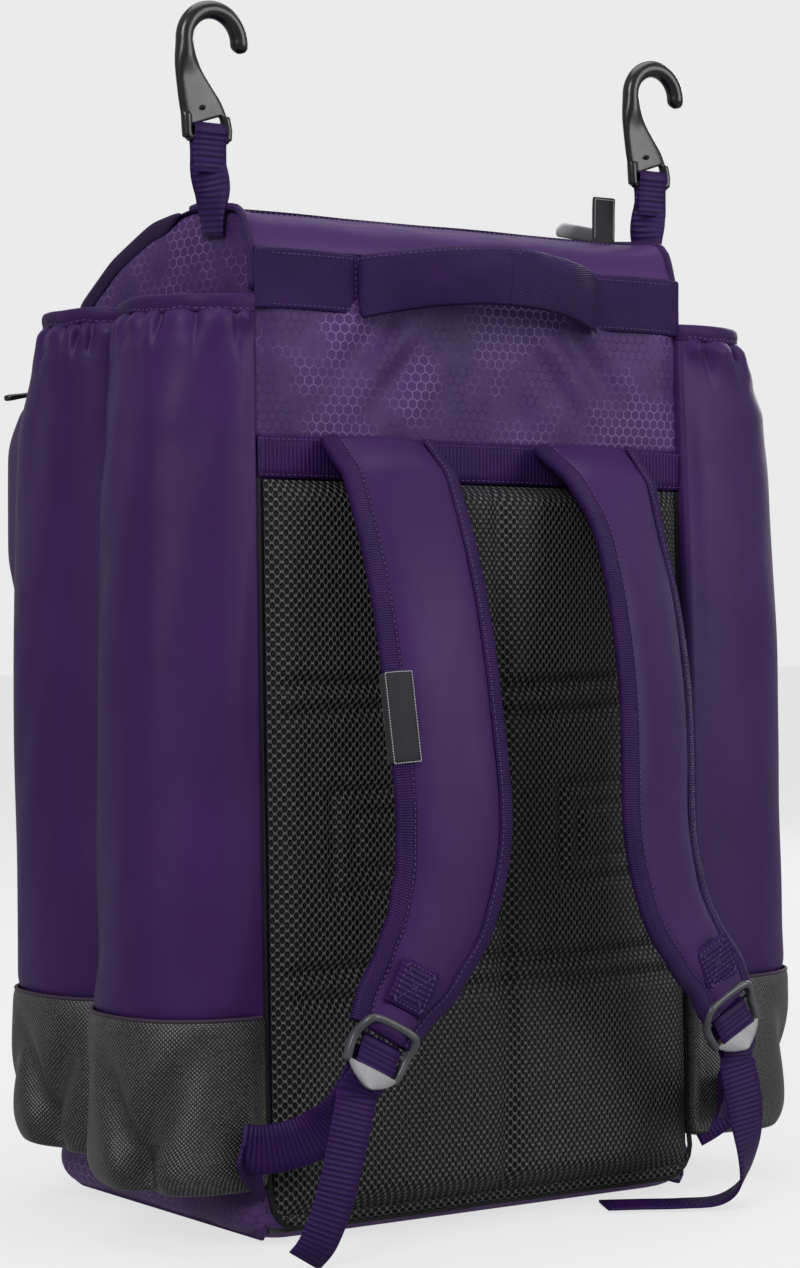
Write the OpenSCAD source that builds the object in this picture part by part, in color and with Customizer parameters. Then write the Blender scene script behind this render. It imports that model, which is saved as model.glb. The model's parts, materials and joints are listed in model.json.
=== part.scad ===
// Equipment backpack with four side sleeves for bats, a forward-opening lid, two front
// pockets, a padded mesh back, two shoulder straps, a grab handle and two fence hooks.
// Origin: middle of the base, on the floor. +Z is up, -Y is the wearer's side and +X is
// on the right seen from that side. Right-hand pieces are drawn and mirrored for the left.

/* [Body] */
// Width over the two side panels
body_w = 284; // [278:1:290]
// Height of the back panel's top edge
back_h = 516; // [512:1:520]
// Distance from the middle to the foot of the back panel
back_y = 104; // [102:1:106]
// Lean of the back panel towards the lid, in degrees
lean = 1.55; // [1.3:0.05:1.7]
// Height of the corner that the lid's ridge is rounded from
ridge_h = 546; // [544:1:550]
// Thickness of a fabric wall
skin_t = 2; // [1.8:0.1:2]
// Gap between neighbouring pieces
gap = 0.3; // [0.2:0.05:0.35]

/* [Bat sleeves] */
// Height of a sleeve's mouth
mouth_z = 492; // [486:1:494]
// Height of the seam between sleeve and boot
boot_z = 118; // [110:1:124]
// How far a rear sleeve bulges at the boot seam
rear_bulge = 76; // [68:1:80]
// How far a front sleeve bulges at the boot seam
front_bulge = 52; // [48:1:60]
// How far a sleeve's mouth stands off the side panel
mouth_bulge = 49; // [46:1:52]

/* [Back pad] */
// Depth of the back pad's crown
pad_crown = 20; // [16:1:21]
// Height of the mesh pad's top edge
pad_top = 396; // [390:1:398]

/* [Shoulder straps] */
// Distance of a strap's middle line from the bag's middle at the top
strap_x = 69.5; // [66:0.5:72]
// Width of a strap over its binding
strap_w = 73; // [68:1:74]
// Thickness of a strap
strap_t = 10; // [8:0.5:10]
// Width of the binding along a strap's edges
binding_w = 10; // [8:1:12]

/* [Webbing and hardware] */
// Width of the shoulder webbing
web_w = 25; // [20:1:26]
// Thickness of folded webbing
web_t = 1.4; // [1:0.1:1.6]
// Radius of the bars in a ladder lock
bar_r = 1.8; // [1.6:0.1:1.8]
// Inner radius of a fence hook's throat
throat_r = 11; // [10:0.5:12]
// Thickness of a fence hook
hook_t = 8; // [7:0.5:9]

/* [Hidden] */
$fn = 48;

purple = [0.25, 0.165, 0.33];
purple_light = [0.34, 0.25, 0.43];
purple_web = [0.24, 0.13, 0.38];
black = [0.07, 0.07, 0.075];
charcoal = [0.13, 0.13, 0.14];
grey = [0.5, 0.5, 0.52];

half_w = body_w / 2;
side_t = 2.3;
tray_x = half_w + 2;
tray_h = 30;
tray_r = 2.3;
floor_t = 2;
front_y = 114;
hinge_z = 456;
sleeve_x = half_w + gap;
sleeve_wall = 1.6;
rim_h = 13.5;
boot_floor_z = tray_h + 0.5;
band_z = pad_top + 0.5;
yoke_z = 418.3;
edge_x = 136;
anchor_z = 484;
anchor_x = 80;
slider_h = 3.4;
bail_z = 5.7;
bail_r = 0.8;
lock_x = 117;
lock_y = -167;
lock_z = 105;
lock_tilt = 27;
lock_top = 15;
lock_mid = 1;
lock_low = -8;
hook_x = half_w + 8;
hook_root_x = half_w + 2.2;
hook_y = -60;
hook_z = 575;
hook_bar_z = 4;

// Corners of the bag's outline from the side: foot, top of back, ridge, lid, front, toe
back_top_y = back_h * tan(lean) - back_y;
corners = [
    [-back_y, 0], [back_top_y, back_h], [-34, ridge_h], [98, 494], [120, 430], [front_y, 0]
];
corner_r = [16, 6, 30, 50, 40, 24];

// ---- Small geometry helpers ----

function unit(v) = v / norm(v);

function left_of(v) = [-v[1], v[0]];

function angle_of(v) = atan2(v[1], v[0]);

function reversed(p) = [for (i = [len(p) - 1 : -1 : 0]) p[i]];

// Arc of radius r that rounds corner b on the way from a to c
function fillet(a, b, c, r, n = 6) =
    let (u = unit(a - b), v = unit(c - b), half = acos(u * v) / 2)
    let (o = b + unit(u + v) * r / sin(half), start = angle_of(b + u * r / tan(half) - o))
    let (turn = (cross(u, v) > 0 ? -1 : 1) * (180 - 2 * half))
    [for (i = [0 : n]) o + r * [cos(start + turn * i / n), sin(start + turn * i / n)]];

// Closed outline with its corners rounded, each by its own radius
function round_loop(p, r) =
    let (n = len(p))
    [for (i = [0 : n - 1]) each fillet(p[(i + n - 1) % n], p[i], p[(i + 1) % n], r[i])];

// Open path with its inner corners rounded, each by its own radius
function round_path(p, r) =
    let (n = len(p) - 1)
    [for (i = [0 : n]) each i == 0 || i == n ? [p[i]] : fillet(p[i - 1], p[i], p[i + 1], r[i])];

// Convex outline moved inward by d
function inset(p, d) =
    let (n = len(p))
    [for (i = [0 : n - 1])
        let (u = unit(p[(i + n - 1) % n] - p[i]), v = unit(p[(i + 1) % n] - p[i]))
        p[i] + unit(u + v) * d / sin(acos(u * v) / 2)];

function tangents(p) =
    let (n = len(p) - 1)
    [for (i = [0 : n]) unit(p[min(i + 1, n)] - p[max(i - 1, 0)])];

// Path moved sideways by d[i] at each point, to the left of its direction
function shifted(p, d) =
    let (t = tangents(p))
    [for (i = [0 : len(p) - 1]) p[i] + d[i] * left_of(t[i])];

function same(p, d) = [for (i = [0 : len(p) - 1]) d];

// Smooth curve through the points of p, with n steps from each point to the next
function smooth(p, n = 3) =
    let (last = len(p) - 1)
    [for (i = [0 : last - 1])
        let (a = p[max(i - 1, 0)], b = p[i], c = p[i + 1], d = p[min(i + 2, last)])
        for (k = [0 : i < last - 1 ? n - 1 : n])
            let (t = k / n)
            (2 * b + (c - a) * t + (2 * a - 5 * b + 4 * c - d) * t * t
                + (3 * b - a - 3 * c + d) * t * t * t) / 2];

// Band that follows a path, between the offsets a and b
function strip(p, a, b) = concat(shifted(p, same(p, a)), reversed(shifted(p, same(p, b))));

// Point of the line from a to b at height z
function at_height(a, b, z) = a + (b - a) * (z - a[1]) / (b[1] - a[1]);

// Extrudes an outline given in (y, z) along X, centred
module along_x(w) {
    rotate([90, 0, 90]) linear_extrude(w, center = true) children();
}

// Extrudes an outline given in (x, z) from y0 to y1
module along_y(y0, y1) {
    translate([0, y1, 0]) rotate([90, 0, 0]) linear_extrude(y1 - y0) children();
}

// Box between two corners
module box(low, high) {
    translate(low) cube(high - low);
}

// Frame of the leaning back panel: y = 0 is its outer face, -y points to the wearer
module on_back() {
    translate([0, -back_y, 0]) rotate([-lean, 0, 0]) children();
}

module left() {
    mirror([1, 0, 0]) children();
}

// Solid through a list of rings, each a loop of points. A closed one joins its last ring to
// its first, as a tube does, and an open one is capped by its first and last rings
module loft(rings, closed = false) {
    m = len(rings);
    n = len(rings[0]);
    sides = [for (k = [0 : closed ? m - 1 : m - 2], i = [0 : n - 1])
        let (a = k * n + i, b = k * n + (i + 1) % n)
        let (c = (k + 1) % m * n + (i + 1) % n, d = (k + 1) % m * n + i)
        each [[a, c, b], [a, d, c]]];
    caps = closed ? [] : [[for (i = [0 : n - 1]) i], [for (i = [n - 1 : -1 : 0]) (m - 1) * n + i]];
    polyhedron([for (ring = rings) each ring], concat(sides, caps), convexity = 4);
}

// ---- Body ----

ridge_arc = fillet(corners[1], corners[2], corners[3], corner_r[2], 8);

module top_panel() {
    start = corners[1] + unit(corners[2] - corners[1]) * 0.6;
    end = ridge_arc[0] - unit(corners[2] - corners[1]) * gap;
    color(purple_light) along_x(2 * half_w) polygon(strip([start, end], 0, -skin_t));
}

module zip_tape(from, to) {
    path = [for (i = [from : to]) ridge_arc[i]];
    along_x(2 * half_w) polygon(strip(path, 0, -skin_t));
}

module main_zip_rear() {
    color(charcoal) zip_tape(0, 3);
}

module main_zip_front() {
    color(charcoal) zip_tape(4, 7);
}

module lid() {
    bottom = at_height(corners[4], corners[3], hinge_z);
    path = round_path([ridge_arc[8], corners[3], bottom], [0, corner_r[3], 0]);
    color(purple) along_x(2 * half_w) polygon(strip(path, 0, -skin_t));
}

module front_panel() {
    top = at_height(corners[4], corners[3], hinge_z - 3);
    foot = at_height(corners[5], corners[4], tray_h + 0.5);
    path = round_path([top, corners[4], foot], [0, corner_r[4], 0]);
    color(purple) along_x(2 * half_w) polygon(strip(path, 0, -skin_t));
}

module side_panel() {
    d = skin_t + gap;
    outline = round_loop(inset(corners, d), [for (r = corner_r) r - d]);
    color(purple_light) translate([half_w - side_t / 2, 0, 0]) along_x(side_t) polygon(outline);
}

module rounded_plan(x, y0, y1, r) {
    polygon(round_loop([[-x, y0], [x, y0], [x, y1], [-x, y1]], [r, r, r, r]));
}

module bottom_panel() {
    wall = tray_x - half_w - gap;
    color(purple) difference() {
        linear_extrude(tray_h) rounded_plan(tray_x, -back_y, front_y, tray_r);
        translate([0, 0, floor_t]) linear_extrude(tray_h)
            rounded_plan(tray_x - wall, wall - back_y, front_y - wall, tray_r - wall);
    }
}

module base_board() {
    board_t = 3;
    z = floor_t + gap;
    color(charcoal) box([-edge_x, -84, z], [edge_x, 88, z + board_t]);
}

module frame_sheet() {
    color(grey) on_back() box([-138, 2.3, 6], [138, 4.3, 505]);
}

module back_panel() {
    color(purple) on_back() box([-139.4, 0.3, tray_h + 1], [139.4, 2, back_h - 2]);
}

// ---- Padded back ----

foam_r = (edge_x * edge_x + pow(pad_crown - 5, 2)) / 2 / (pad_crown - 5);
foam_z = 14;

module crown(r) {
    translate([0, foam_r - pad_crown, 0]) cylinder(r = r, h = pad_top, $fn = 360);
}

module pad_space() {
    box([-edge_x, -40, foam_z], [edge_x, -1.2, pad_top]);
}

module back_foam() {
    color(charcoal) on_back() intersection() {
        crown(foam_r);
        pad_space();
    }
}

module back_mesh() {
    color(black) on_back() intersection() {
        difference() {
            crown(foam_r + 1.8);
            crown(foam_r + 0.2);
        }
        pad_space();
    }
}

module strap_band() {
    color(purple_web) on_back() box([-edge_x, -3.5, band_z], [edge_x, -0.3, yoke_z - gap]);
}

module yoke_panel() {
    color(purple_light) on_back() box([-edge_x, -2, yoke_z], [edge_x, -0.2, back_h - 0.5]);
}

module edge_piping() {
    pipe_r = 2.5;
    bend = 8;
    x = edge_x + 3.5;
    z = 8;
    color(black) on_back() translate([0, -3.5, 0]) {
        translate([bend - x, 0, z]) rotate([0, 90, 0]) cylinder(r = pipe_r, h = 2 * (x - bend));
        for (s = [-1, 1]) {
            translate([s * x, 0, z + bend]) cylinder(r = pipe_r, h = back_h - z - bend - 6);
            mirror([s > 0 ? 0 : 1, 0, 0]) translate([x - bend, 0, z + bend])
                rotate([90, 90, 0]) rotate_extrude(angle = 90) translate([bend, 0]) circle(pipe_r);
        }
    }
}

// ---- Grab handle ----

module handle_anchor() {
    color(purple_web) on_back() box([anchor_x, -4.7, anchor_z], [edge_x, -2.3, back_h - 1]);
}

module grab_handle() {
    chord = anchor_x - 2;
    end_y = -9;
    rise = 22;
    band_t = 2.4;
    r = (chord * chord + rise * rise) / 2 / rise;
    color(purple_web) on_back() translate([0, end_y - rise + r, 0]) intersection() {
        difference() {
            cylinder(r = r + band_t / 2, h = back_h - 2, $fn = 180);
            cylinder(r = r - band_t / 2, h = back_h, $fn = 180);
        }
        box([-chord, -2 * r, anchor_z + 3], [chord, 0, back_h - 2]);
    }
}

// ---- Bat sleeves ----

// Half-round section: flat along x = 0, bulging out by b, with half length h along y
function d_section(b, h, n = 14) =
    [for (i = [0 : n])
        let (s = sin(180 * i / n), c = cos(180 * i / n))
        [b * pow(s, 0.6), sign(c) * h * pow(abs(c), 0.75)]];

function rear_edge(z) = z * tan(lean) - back_y - 3;

// Middle and half length of a sleeve along Y at height z
function sleeve_mid(rear, z) = rear ? rear_edge(z) / 2 : 54;

function sleeve_half(rear, z) = rear ? -rear_edge(z) / 2 : 51;

function bulge_at(rear, z) =
    let (b = rear ? rear_bulge : front_bulge)
    lookup(z, [[tray_h, b - 6], [boot_z, b], [300, b - 3], [mouth_z - rim_h, mouth_bulge]]);

// Level ring round a sleeve at height z, drawn in by d from the outside
function sleeve_ring(rear, z, d) =
    [for (p = reversed(d_section(bulge_at(rear, z) - 2 * d, sleeve_half(rear, z) - d)))
        [sleeve_x + d + p[0], sleeve_mid(rear, z) + p[1], z]];

module sleeve(rear) {
    levels = [boot_z + gap, 210, 300, 390, mouth_z - rim_h];
    outer = [for (z = levels) sleeve_ring(rear, z, 0)];
    inner = [for (z = reversed(levels)) sleeve_ring(rear, z, sleeve_wall)];
    color(purple) loft(concat(outer, inner), closed = true);
}

module boot(rear) {
    outer = [for (z = [boot_floor_z, boot_z]) sleeve_ring(rear, z, 0)];
    inner = [for (z = [boot_z, boot_floor_z + floor_t]) sleeve_ring(rear, z, sleeve_wall)];
    color(black) loft(concat(outer, inner));
}

module rim(rear) {
    low = mouth_z - rim_h + gap;
    wall = 2.2;
    h = sleeve_half(rear, low);
    color(purple) translate([sleeve_x, sleeve_mid(rear, low), low]) difference() {
        linear_extrude(mouth_z - low) polygon(d_section(mouth_bulge, h));
        translate([wall, 0, -1]) linear_extrude(rim_h + 2)
            polygon(d_section(mouth_bulge - 2 * wall, h - wall));
    }
}

// ---- Front pockets ----

function front_at(z) = at_height(corners[5], corners[4], z)[0] + 0.8;

upper_low = 325;
upper_high = 450;
upper_y = 198;
lower_low = 45;
lower_high = 300;
lower_y = 166;
pocket_x = 140;

module pocket(profile, radii, depth, r) {
    d = skin_t;
    module shape(e) {
        intersection() {
            along_x(2 * pocket_x) polygon(round_loop(inset(profile, e), [for (q = radii) q - e]));
            translate([0, 0, -e]) linear_extrude(600)
                rounded_plan(pocket_x - e, 60, depth - e, r - e);
        }
    }
    difference() {
        shape(0);
        shape(d);
        box([r - pocket_x, 100, profile[0][1] + 14], [pocket_x - r, 130, profile[1][1] - 14]);
    }
}

module upper_pocket() {
    profile = [
        [121, upper_low], [121, upper_high], [178, upper_high],
        [upper_y, upper_high - 24], [upper_y, 356], [182, upper_low]
    ];
    color(purple) pocket(profile, [3, 3, 18, 20, 30, 14], upper_y, 34);
}

module lower_pocket() {
    profile = [
        [front_at(lower_low), lower_low], [front_at(lower_high), lower_high],
        [154, lower_high], [lower_y, lower_high - 12], [lower_y, 74], [150, lower_low]
    ];
    color(purple) pocket(profile, [3, 3, 10, 10, 26, 16], lower_y, 26);
}

module upper_pocket_zip() {
    color(charcoal) box([-122, 140, upper_high + gap], [122, 152, upper_high + 1.5]);
}

module lower_pocket_zip() {
    color(charcoal) box([-122, lower_y + gap, 264], [122, lower_y + 1.5, 276]);
}

// ---- Sliders and pulls ----

// Slider with its bail. It rides along X on a face with normal Z; the bail's bar is along Y
module slider() {
    post = 1.2;
    bar_l = 7.4;
    box([-4.5, -4, 0], [4.5, 4, slider_h]);
    for (s = [-1, 1]) {
        translate([0, s * (bar_l - post) / 2, (slider_h + bail_z + 1) / 2 - 0.5])
            cube([2.4, post, bail_z + 1 - slider_h + 1], center = true);
    }
    translate([0, 0, bail_z]) rotate([90, 0, 0]) cylinder(r = bail_r, h = bar_l, center = true);
}

// Moulded pull: an eye round the bail's bar and a tab that reaches towards -X
module pull(length) {
    eye_r = 2;
    eye_w = 4.2;
    tab_w = 7;
    difference() {
        union() {
            rotate([90, 0, 0]) cylinder(r = eye_r, h = eye_w, center = true);
            box([-6, -eye_w / 2, -0.9], [0, eye_w / 2, 0.9]);
            box([-length, -tab_w / 2, -1.1], [-5, tab_w / 2, 1.1]);
        }
        rotate([90, 0, 0]) cylinder(r = bail_r + 0.1, h = eye_w + 2, center = true);
    }
}

main_slider_pos = [134, -33, ridge_arc[4][1] + gap];
upper_slider_pos = [-124, 146, upper_high + 1.8];
lower_slider_pos = [-124, lower_y + 1.8, 270];

module main_slider() {
    color(black) translate(main_slider_pos) slider();
}

module main_pull() {
    color(grey) translate(main_slider_pos + [0, 0, bail_z]) rotate([0, 4, 0]) pull(30);
}

module upper_slider() {
    color(black) translate(upper_slider_pos) slider();
}

module upper_pull() {
    color(black) translate(upper_slider_pos + [0, 0, bail_z]) rotate([0, -6, 0]) pull(38);
}

// Turns a slider on to a face with normal Y, with its pull hanging down
module hanging() {
    rotate(a = 240, v = [1, 1, 1]) children();
}

module lower_slider() {
    color(black) translate(lower_slider_pos) hanging() slider();
}

module lower_pull() {
    color(black) translate(lower_slider_pos + [0, bail_z, 0]) hanging() pull(36);
}

module zip_label() {
    y = -45;
    z = at_height(corners[1], corners[2], ridge_h - 5)[1];
    color(charcoal) box([120, y - 0.8, z], [135, y, z + 28]);
}

// ---- Fence hooks and their straps ----

module twist_slice(x, z, turn) {
    translate([x, hook_y, z]) rotate([0, 0, turn]) cube([1.6, 20, 0.1], center = true);
}

module hook_strap() {
    loop_z = hook_z + hook_bar_z;
    twist = [0, 0, 30, 60, 90];
    level = [538.55, 545, 553, 561, 569];
    out = [for (z = level) lookup(z, [[level[0], hook_root_x], [level[4], hook_x]])];
    color(purple_web) {
        for (i = [0 : 3]) {
            hull() {
                twist_slice(out[i], level[i], twist[i]);
                twist_slice(out[i + 1], level[i + 1], twist[i + 1]);
            }
        }
        difference() {
            union() {
                translate([hook_x, hook_y, 0]) box([-10, -0.8, level[4]], [10, 0.8, loop_z - 3]);
                translate([hook_x, hook_y, loop_z]) rotate([0, 90, 0])
                    cylinder(r = 4.6, h = 20, center = true);
            }
            translate([hook_x, hook_y, loop_z]) rotate([0, 90, 0])
                cylinder(r = 3.1, h = 22, center = true);
        }
    }
}

// Flat hook drawn in (x, z) from the middle of its foot. The throat opens towards +X
module fence_hook() {
    wall = 8;
    mid = [3, 53];
    tip = [18, 49];
    shank = [
        [-16, 53], [-8, 53], [-7.7, 45], [-5, 37.6], [-0.7, 30.6], [5.6, 21], [10.9, 12.4],
        [14, 5], [14, 0], [-14, 0], [-16.7, 10.6], [-19.3, 23.7], [-19.5, 36.7]
    ];
    outer_r = throat_r + wall;
    color(black) translate([0, hook_y, hook_z]) {
        difference() {
            union() {
                along_y(-hook_t / 2, hook_t / 2) difference() {
                    union() {
                        polygon(shank);
                        intersection() {
                            translate(mid) circle(outer_r);
                            translate([mid[0] - 2 * outer_r, 46]) square([4 * outer_r, 40]);
                        }
                    }
                    translate([-11, -1]) square([22, 14]);
                }
                translate([tip[0], 0, tip[1]]) rotate([90, 0, 0])
                    cylinder(r = 4.3, h = hook_t, center = true);
            }
            translate([mid[0], 0, mid[1]]) rotate([90, 0, 0])
                cylinder(r = throat_r, h = hook_t + 2, center = true);
            box([mid[0], -hook_t, 40], [mid[0] + throat_r + 0.5, hook_t, 48]);
        }
        translate([0, 0, hook_bar_z]) rotate([0, 90, 0])
            cylinder(r = 2.5, h = 23, center = true);
    }
}

// ---- Shoulder straps ----

// Strap's middle line seen from behind (x, z) and half width at each point
strap_line = smooth([
    [strap_x, 417], [strap_x + 0.5, 350], [strap_x - 0.5, 280], [66.5, 215],
    [74, 175], [89, 147], [104.5, 128]
]);
strap_half = smooth([
    strap_w / 2, strap_w / 2, strap_w / 2, strap_w / 2, strap_w / 2 - 3, strap_w / 2 - 8, 23
]);

// Strap's middle line seen from the side (y, z), in the frame of the back
strap_side = smooth([
    [-12, 417.5], [-29, 396], [-48, 350], [-60, 300], [-65.5, 250], [-67, 206], [-67, 110]
]);

// Front view of a strap, drawn in by d from its edges
module strap_outline(d) {
    right = shifted(strap_line, [for (w = strap_half) d - w]);
    left = shifted(strap_line, [for (w = strap_half) w - d]);
    polygon(concat(right, reversed(left)));
}

// Keeps the part of its child that lies between two offsets from the strap's middle
module strap_layer(a, b) {
    on_back() intersection() {
        along_y(-120, 0) children();
        along_x(500) polygon(strip(strap_side, a, b));
    }
}

module strap_pad() {
    color(purple) strap_layer(strap_t / 2, -strap_t / 2) strap_outline(binding_w + 0.4);
}

module strap_binding() {
    color(purple_web) strap_layer(strap_t / 2 + 0.4, -strap_t / 2) difference() {
        strap_outline(0);
        strap_outline(binding_w);
        for (end = [0, len(strap_line) - 1]) {
            translate(strap_line[end]) circle(strap_half[end] - binding_w);
        }
    }
}

module strap_label() {
    front = -strap_t / 2 - 0.6;
    color(charcoal) left() strap_layer(front, front - 0.8) translate([92, 248]) square([13, 47]);
}

// Frame of a ladder lock: x along its bars, z up the strap
module at_lock() {
    translate([lock_x, lock_y, lock_z]) rotate([0, -lock_tilt, 0]) children();
}

module strap_tab() {
    y = -bar_r - gap - web_t / 2;
    front = -strap_t / 2 - 2.2;
    path = [[y, lock_top], [y, lock_top + 1], [front, lock_top + 7], [front, 48]];
    color(purple_web) at_lock() difference() {
        union() {
            along_x(web_w) polygon(strip(path, web_t / 2, -web_t / 2));
            translate([0, 0, lock_top]) rotate([0, 90, 0])
                cylinder(r = bar_r + gap + web_t, h = web_w, center = true);
        }
        translate([0, 0, lock_top]) rotate([0, 90, 0])
            cylinder(r = bar_r + gap, h = web_w + 2, center = true);
    }
}

module ladder_lock() {
    rail_x = 15;
    color(charcoal) at_lock() {
        for (s = [-1, 1]) {
            translate([s * rail_x, 0, 0]) cube([4, 5, 36], center = true);
        }
        for (z = [lock_top, lock_mid, lock_low]) {
            translate([0, 0, z]) rotate([0, 90, 0]) cylinder(r = bar_r, h = 2 * rail_x, center = true);
        }
        box([-17, -1.2, -19], [17, 1.2, -12]);
    }
}

// Point of the bag for a point of the ladder lock's own frame
function from_lock(p) = [
    lock_x + p[0] * cos(lock_tilt) - p[2] * sin(lock_tilt),
    lock_y + p[1],
    lock_z + p[0] * sin(lock_tilt) + p[2] * cos(lock_tilt)
];

// Cross-section of the webbing at p, with its width along w and its thickness along t
function web_ring(p, w, t) =
    [for (c = [[-1, -1], [-1, 1], [1, 1], [1, -1]])
        p + c[0] * web_w / 2 * w + c[1] * web_t / 2 * t];

// One length of webbing: from near the side seam to the lock, over its middle bar and down
module lower_web() {
    r = bar_r + gap + web_t / 2;
    across = [cos(lock_tilt), 0, sin(lock_tilt)];
    up = [-sin(lock_tilt), 0, cos(lock_tilt)];
    leg = [
        web_ring([136, -124, 66], across, unit([0, -0.6, -0.8])),
        web_ring(from_lock([0, r + 5, -20]), across, unit([0, -0.6, -0.8])),
        web_ring(from_lock([0, r, -13]), across, [0, -1, 0])
    ];
    loop = [for (a = [0 : 30 : 180])
        web_ring(from_lock([0, r * cos(a), lock_mid + r * sin(a)]), across,
            [0, -cos(a), 0] - sin(a) * up)];
    tail = [
        web_ring(from_lock([0, -r, -22]), across, [0, 1, 0]),
        web_ring([128.5, lock_y - r, 62], unit([1, 0, 0.2]), [0, 1, 0]),
        web_ring([131.5, lock_y - r, 2], [1, 0, 0], [0, 1, 0])
    ];
    color(purple_web) loft(concat(leg, loop, tail));
}

module web_anchor() {
    color(purple_web) on_back() along_y(-10.6, -9)
        polygon([[half_w, 34], [half_w, 76], [edge_x - 7, 66], [edge_x - 7, 46]]);
}

back_foam();
back_mesh();
back_panel();
frame_sheet();
base_board();
left() side_panel();  // side_panel_left
side_panel();  // side_panel_right
front_panel();
bottom_panel();
top_panel();
yoke_panel();
strap_band();
edge_piping();
main_zip_rear();
zip_label();
left() handle_anchor();  // handle_anchor_left
handle_anchor();  // handle_anchor_right
left() sleeve(true);  // sleeve_left_rear
left() sleeve(false);  // sleeve_left_front
sleeve(true);  // sleeve_right_rear
sleeve(false);  // sleeve_right_front
left() boot(true);  // boot_left_rear
left() boot(false);  // boot_left_front
boot(true);  // boot_right_rear
boot(false);  // boot_right_front
left() rim(true);  // rim_left_rear
left() rim(false);  // rim_left_front
rim(true);  // rim_right_rear
rim(false);  // rim_right_front
upper_pocket();
upper_pocket_zip();
lower_pocket();
lower_pocket_zip();
left() web_anchor();  // web_anchor_left
web_anchor();  // web_anchor_right
lid();
main_zip_front();
main_slider();
main_pull();
upper_slider();
upper_pull();
lower_slider();
lower_pull();
grab_handle();
left() hook_strap();  // hook_strap_left
hook_strap();  // hook_strap_right
translate([-hook_x, 0, 0]) fence_hook();  // fence_hook_left
translate([hook_x, 0, 0]) fence_hook();  // fence_hook_right
left() strap_pad();  // strap_pad_left
left() strap_binding();  // strap_binding_left
left() strap_tab();  // strap_tab_left
strap_label();
strap_pad();  // strap_pad_right
strap_binding();  // strap_binding_right
strap_tab();  // strap_tab_right
left() ladder_lock();  // ladder_lock_left
left() lower_web();  // lower_web_left
ladder_lock();  // ladder_lock_right
lower_web();  // lower_web_right
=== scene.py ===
"""Looks of the equipment backpack. Every piece is soft goods, webbing or moulded plastic built
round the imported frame. Modelling is in millimetres and becomes metres as each mesh is made."""
import json
import math
import random

import bmesh
import bpy
import numpy as np
from mathutils import Matrix, Vector, noise

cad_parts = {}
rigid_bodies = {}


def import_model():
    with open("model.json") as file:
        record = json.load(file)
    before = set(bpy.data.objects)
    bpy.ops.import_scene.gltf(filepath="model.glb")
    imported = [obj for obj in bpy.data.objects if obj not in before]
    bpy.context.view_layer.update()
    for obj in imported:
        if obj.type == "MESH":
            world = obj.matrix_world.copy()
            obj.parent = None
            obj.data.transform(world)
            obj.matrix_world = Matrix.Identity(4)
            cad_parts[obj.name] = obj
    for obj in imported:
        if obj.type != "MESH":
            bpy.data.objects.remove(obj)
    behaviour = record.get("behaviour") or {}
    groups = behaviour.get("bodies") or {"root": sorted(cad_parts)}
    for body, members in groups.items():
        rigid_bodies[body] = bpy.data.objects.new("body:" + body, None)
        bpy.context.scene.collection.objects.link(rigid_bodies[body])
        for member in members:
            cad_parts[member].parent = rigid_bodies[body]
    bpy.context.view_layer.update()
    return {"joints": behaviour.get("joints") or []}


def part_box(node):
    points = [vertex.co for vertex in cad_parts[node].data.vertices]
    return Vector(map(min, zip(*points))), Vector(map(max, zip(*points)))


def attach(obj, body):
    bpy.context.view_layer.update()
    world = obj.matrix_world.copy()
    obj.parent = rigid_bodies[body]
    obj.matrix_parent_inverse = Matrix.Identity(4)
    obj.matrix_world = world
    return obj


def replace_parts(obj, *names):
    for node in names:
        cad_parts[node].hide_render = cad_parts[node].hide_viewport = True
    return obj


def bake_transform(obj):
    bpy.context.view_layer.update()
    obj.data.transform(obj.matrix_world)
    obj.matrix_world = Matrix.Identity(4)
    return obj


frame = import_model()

MM = 0.001
SIDES = {"left": -1, "right": 1}
X_AXIS, Y_AXIS, Z_AXIS = Vector((1, 0, 0)), Vector((0, 1, 0)), Vector((0, 0, 1))


# ---------------------------------------------------------------- sizes taken from the frame

def box_mm(node):
    low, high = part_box(node)
    return low / MM, high / MM


TRAY = box_mm("bottom_panel")
SHEET = box_mm("frame_sheet")
LID = box_mm("lid")
RIM = box_mm("rim_right_rear")
BOOT = {place: box_mm(f"boot_right_{place}") for place in ("rear", "front")}
UPPER = box_mm("upper_pocket")
LOWER = box_mm("lower_pocket")

FOOT_Y = TRAY[0].y
LEAN = math.atan((SHEET[1].y - SHEET[0].y - 2) / (SHEET[1].z - SHEET[0].z))
SIDE_X = box_mm("side_panel_right")[1].x
RIDGE_Y, RIDGE_Z = -34, LID[1].z + 1.5
HINGE_Z = next(j for j in frame["joints"] if j["name"] == "lid_open")["pos_m"][2] / MM


def back(x, y, z):
    """Point on the leaning back: y = 0 is its outer face, and -y points to the wearer."""
    return Vector((x, FOOT_Y + y * math.cos(LEAN) + z * math.sin(LEAN),
                   z * math.cos(LEAN) - y * math.sin(LEAN)))


# ---------------------------------------------------------------- small maths

def lerp(a, b, t):
    return a + (b - a) * t


def ease(t):
    t = min(1.0, max(0.0, t))
    return t * t * (3 - 2 * t)


def bell(x, width):
    return math.exp(-(x / width) ** 2)


def arch(t):
    """0 at both ends of 0 to 1, and 1 in the middle."""
    return max(0.0, math.sin(math.pi * min(1.0, max(0.0, t))))


def table(x, points):
    """Smooth reading of a short list of (position, value) pairs."""
    if x <= points[0][0]:
        return points[0][1]
    for (x0, y0), (x1, y1) in zip(points, points[1:]):
        if x <= x1:
            return lerp(y0, y1, ease((x - x0) / (x1 - x0)))
    return points[-1][1]


def bumps(x, y, z, seed=0):
    """Soft noise about -1 to 1."""
    return noise.noise(Vector((x + seed * 17.3, y - seed * 5.1, z + seed * 9.7)))


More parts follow.
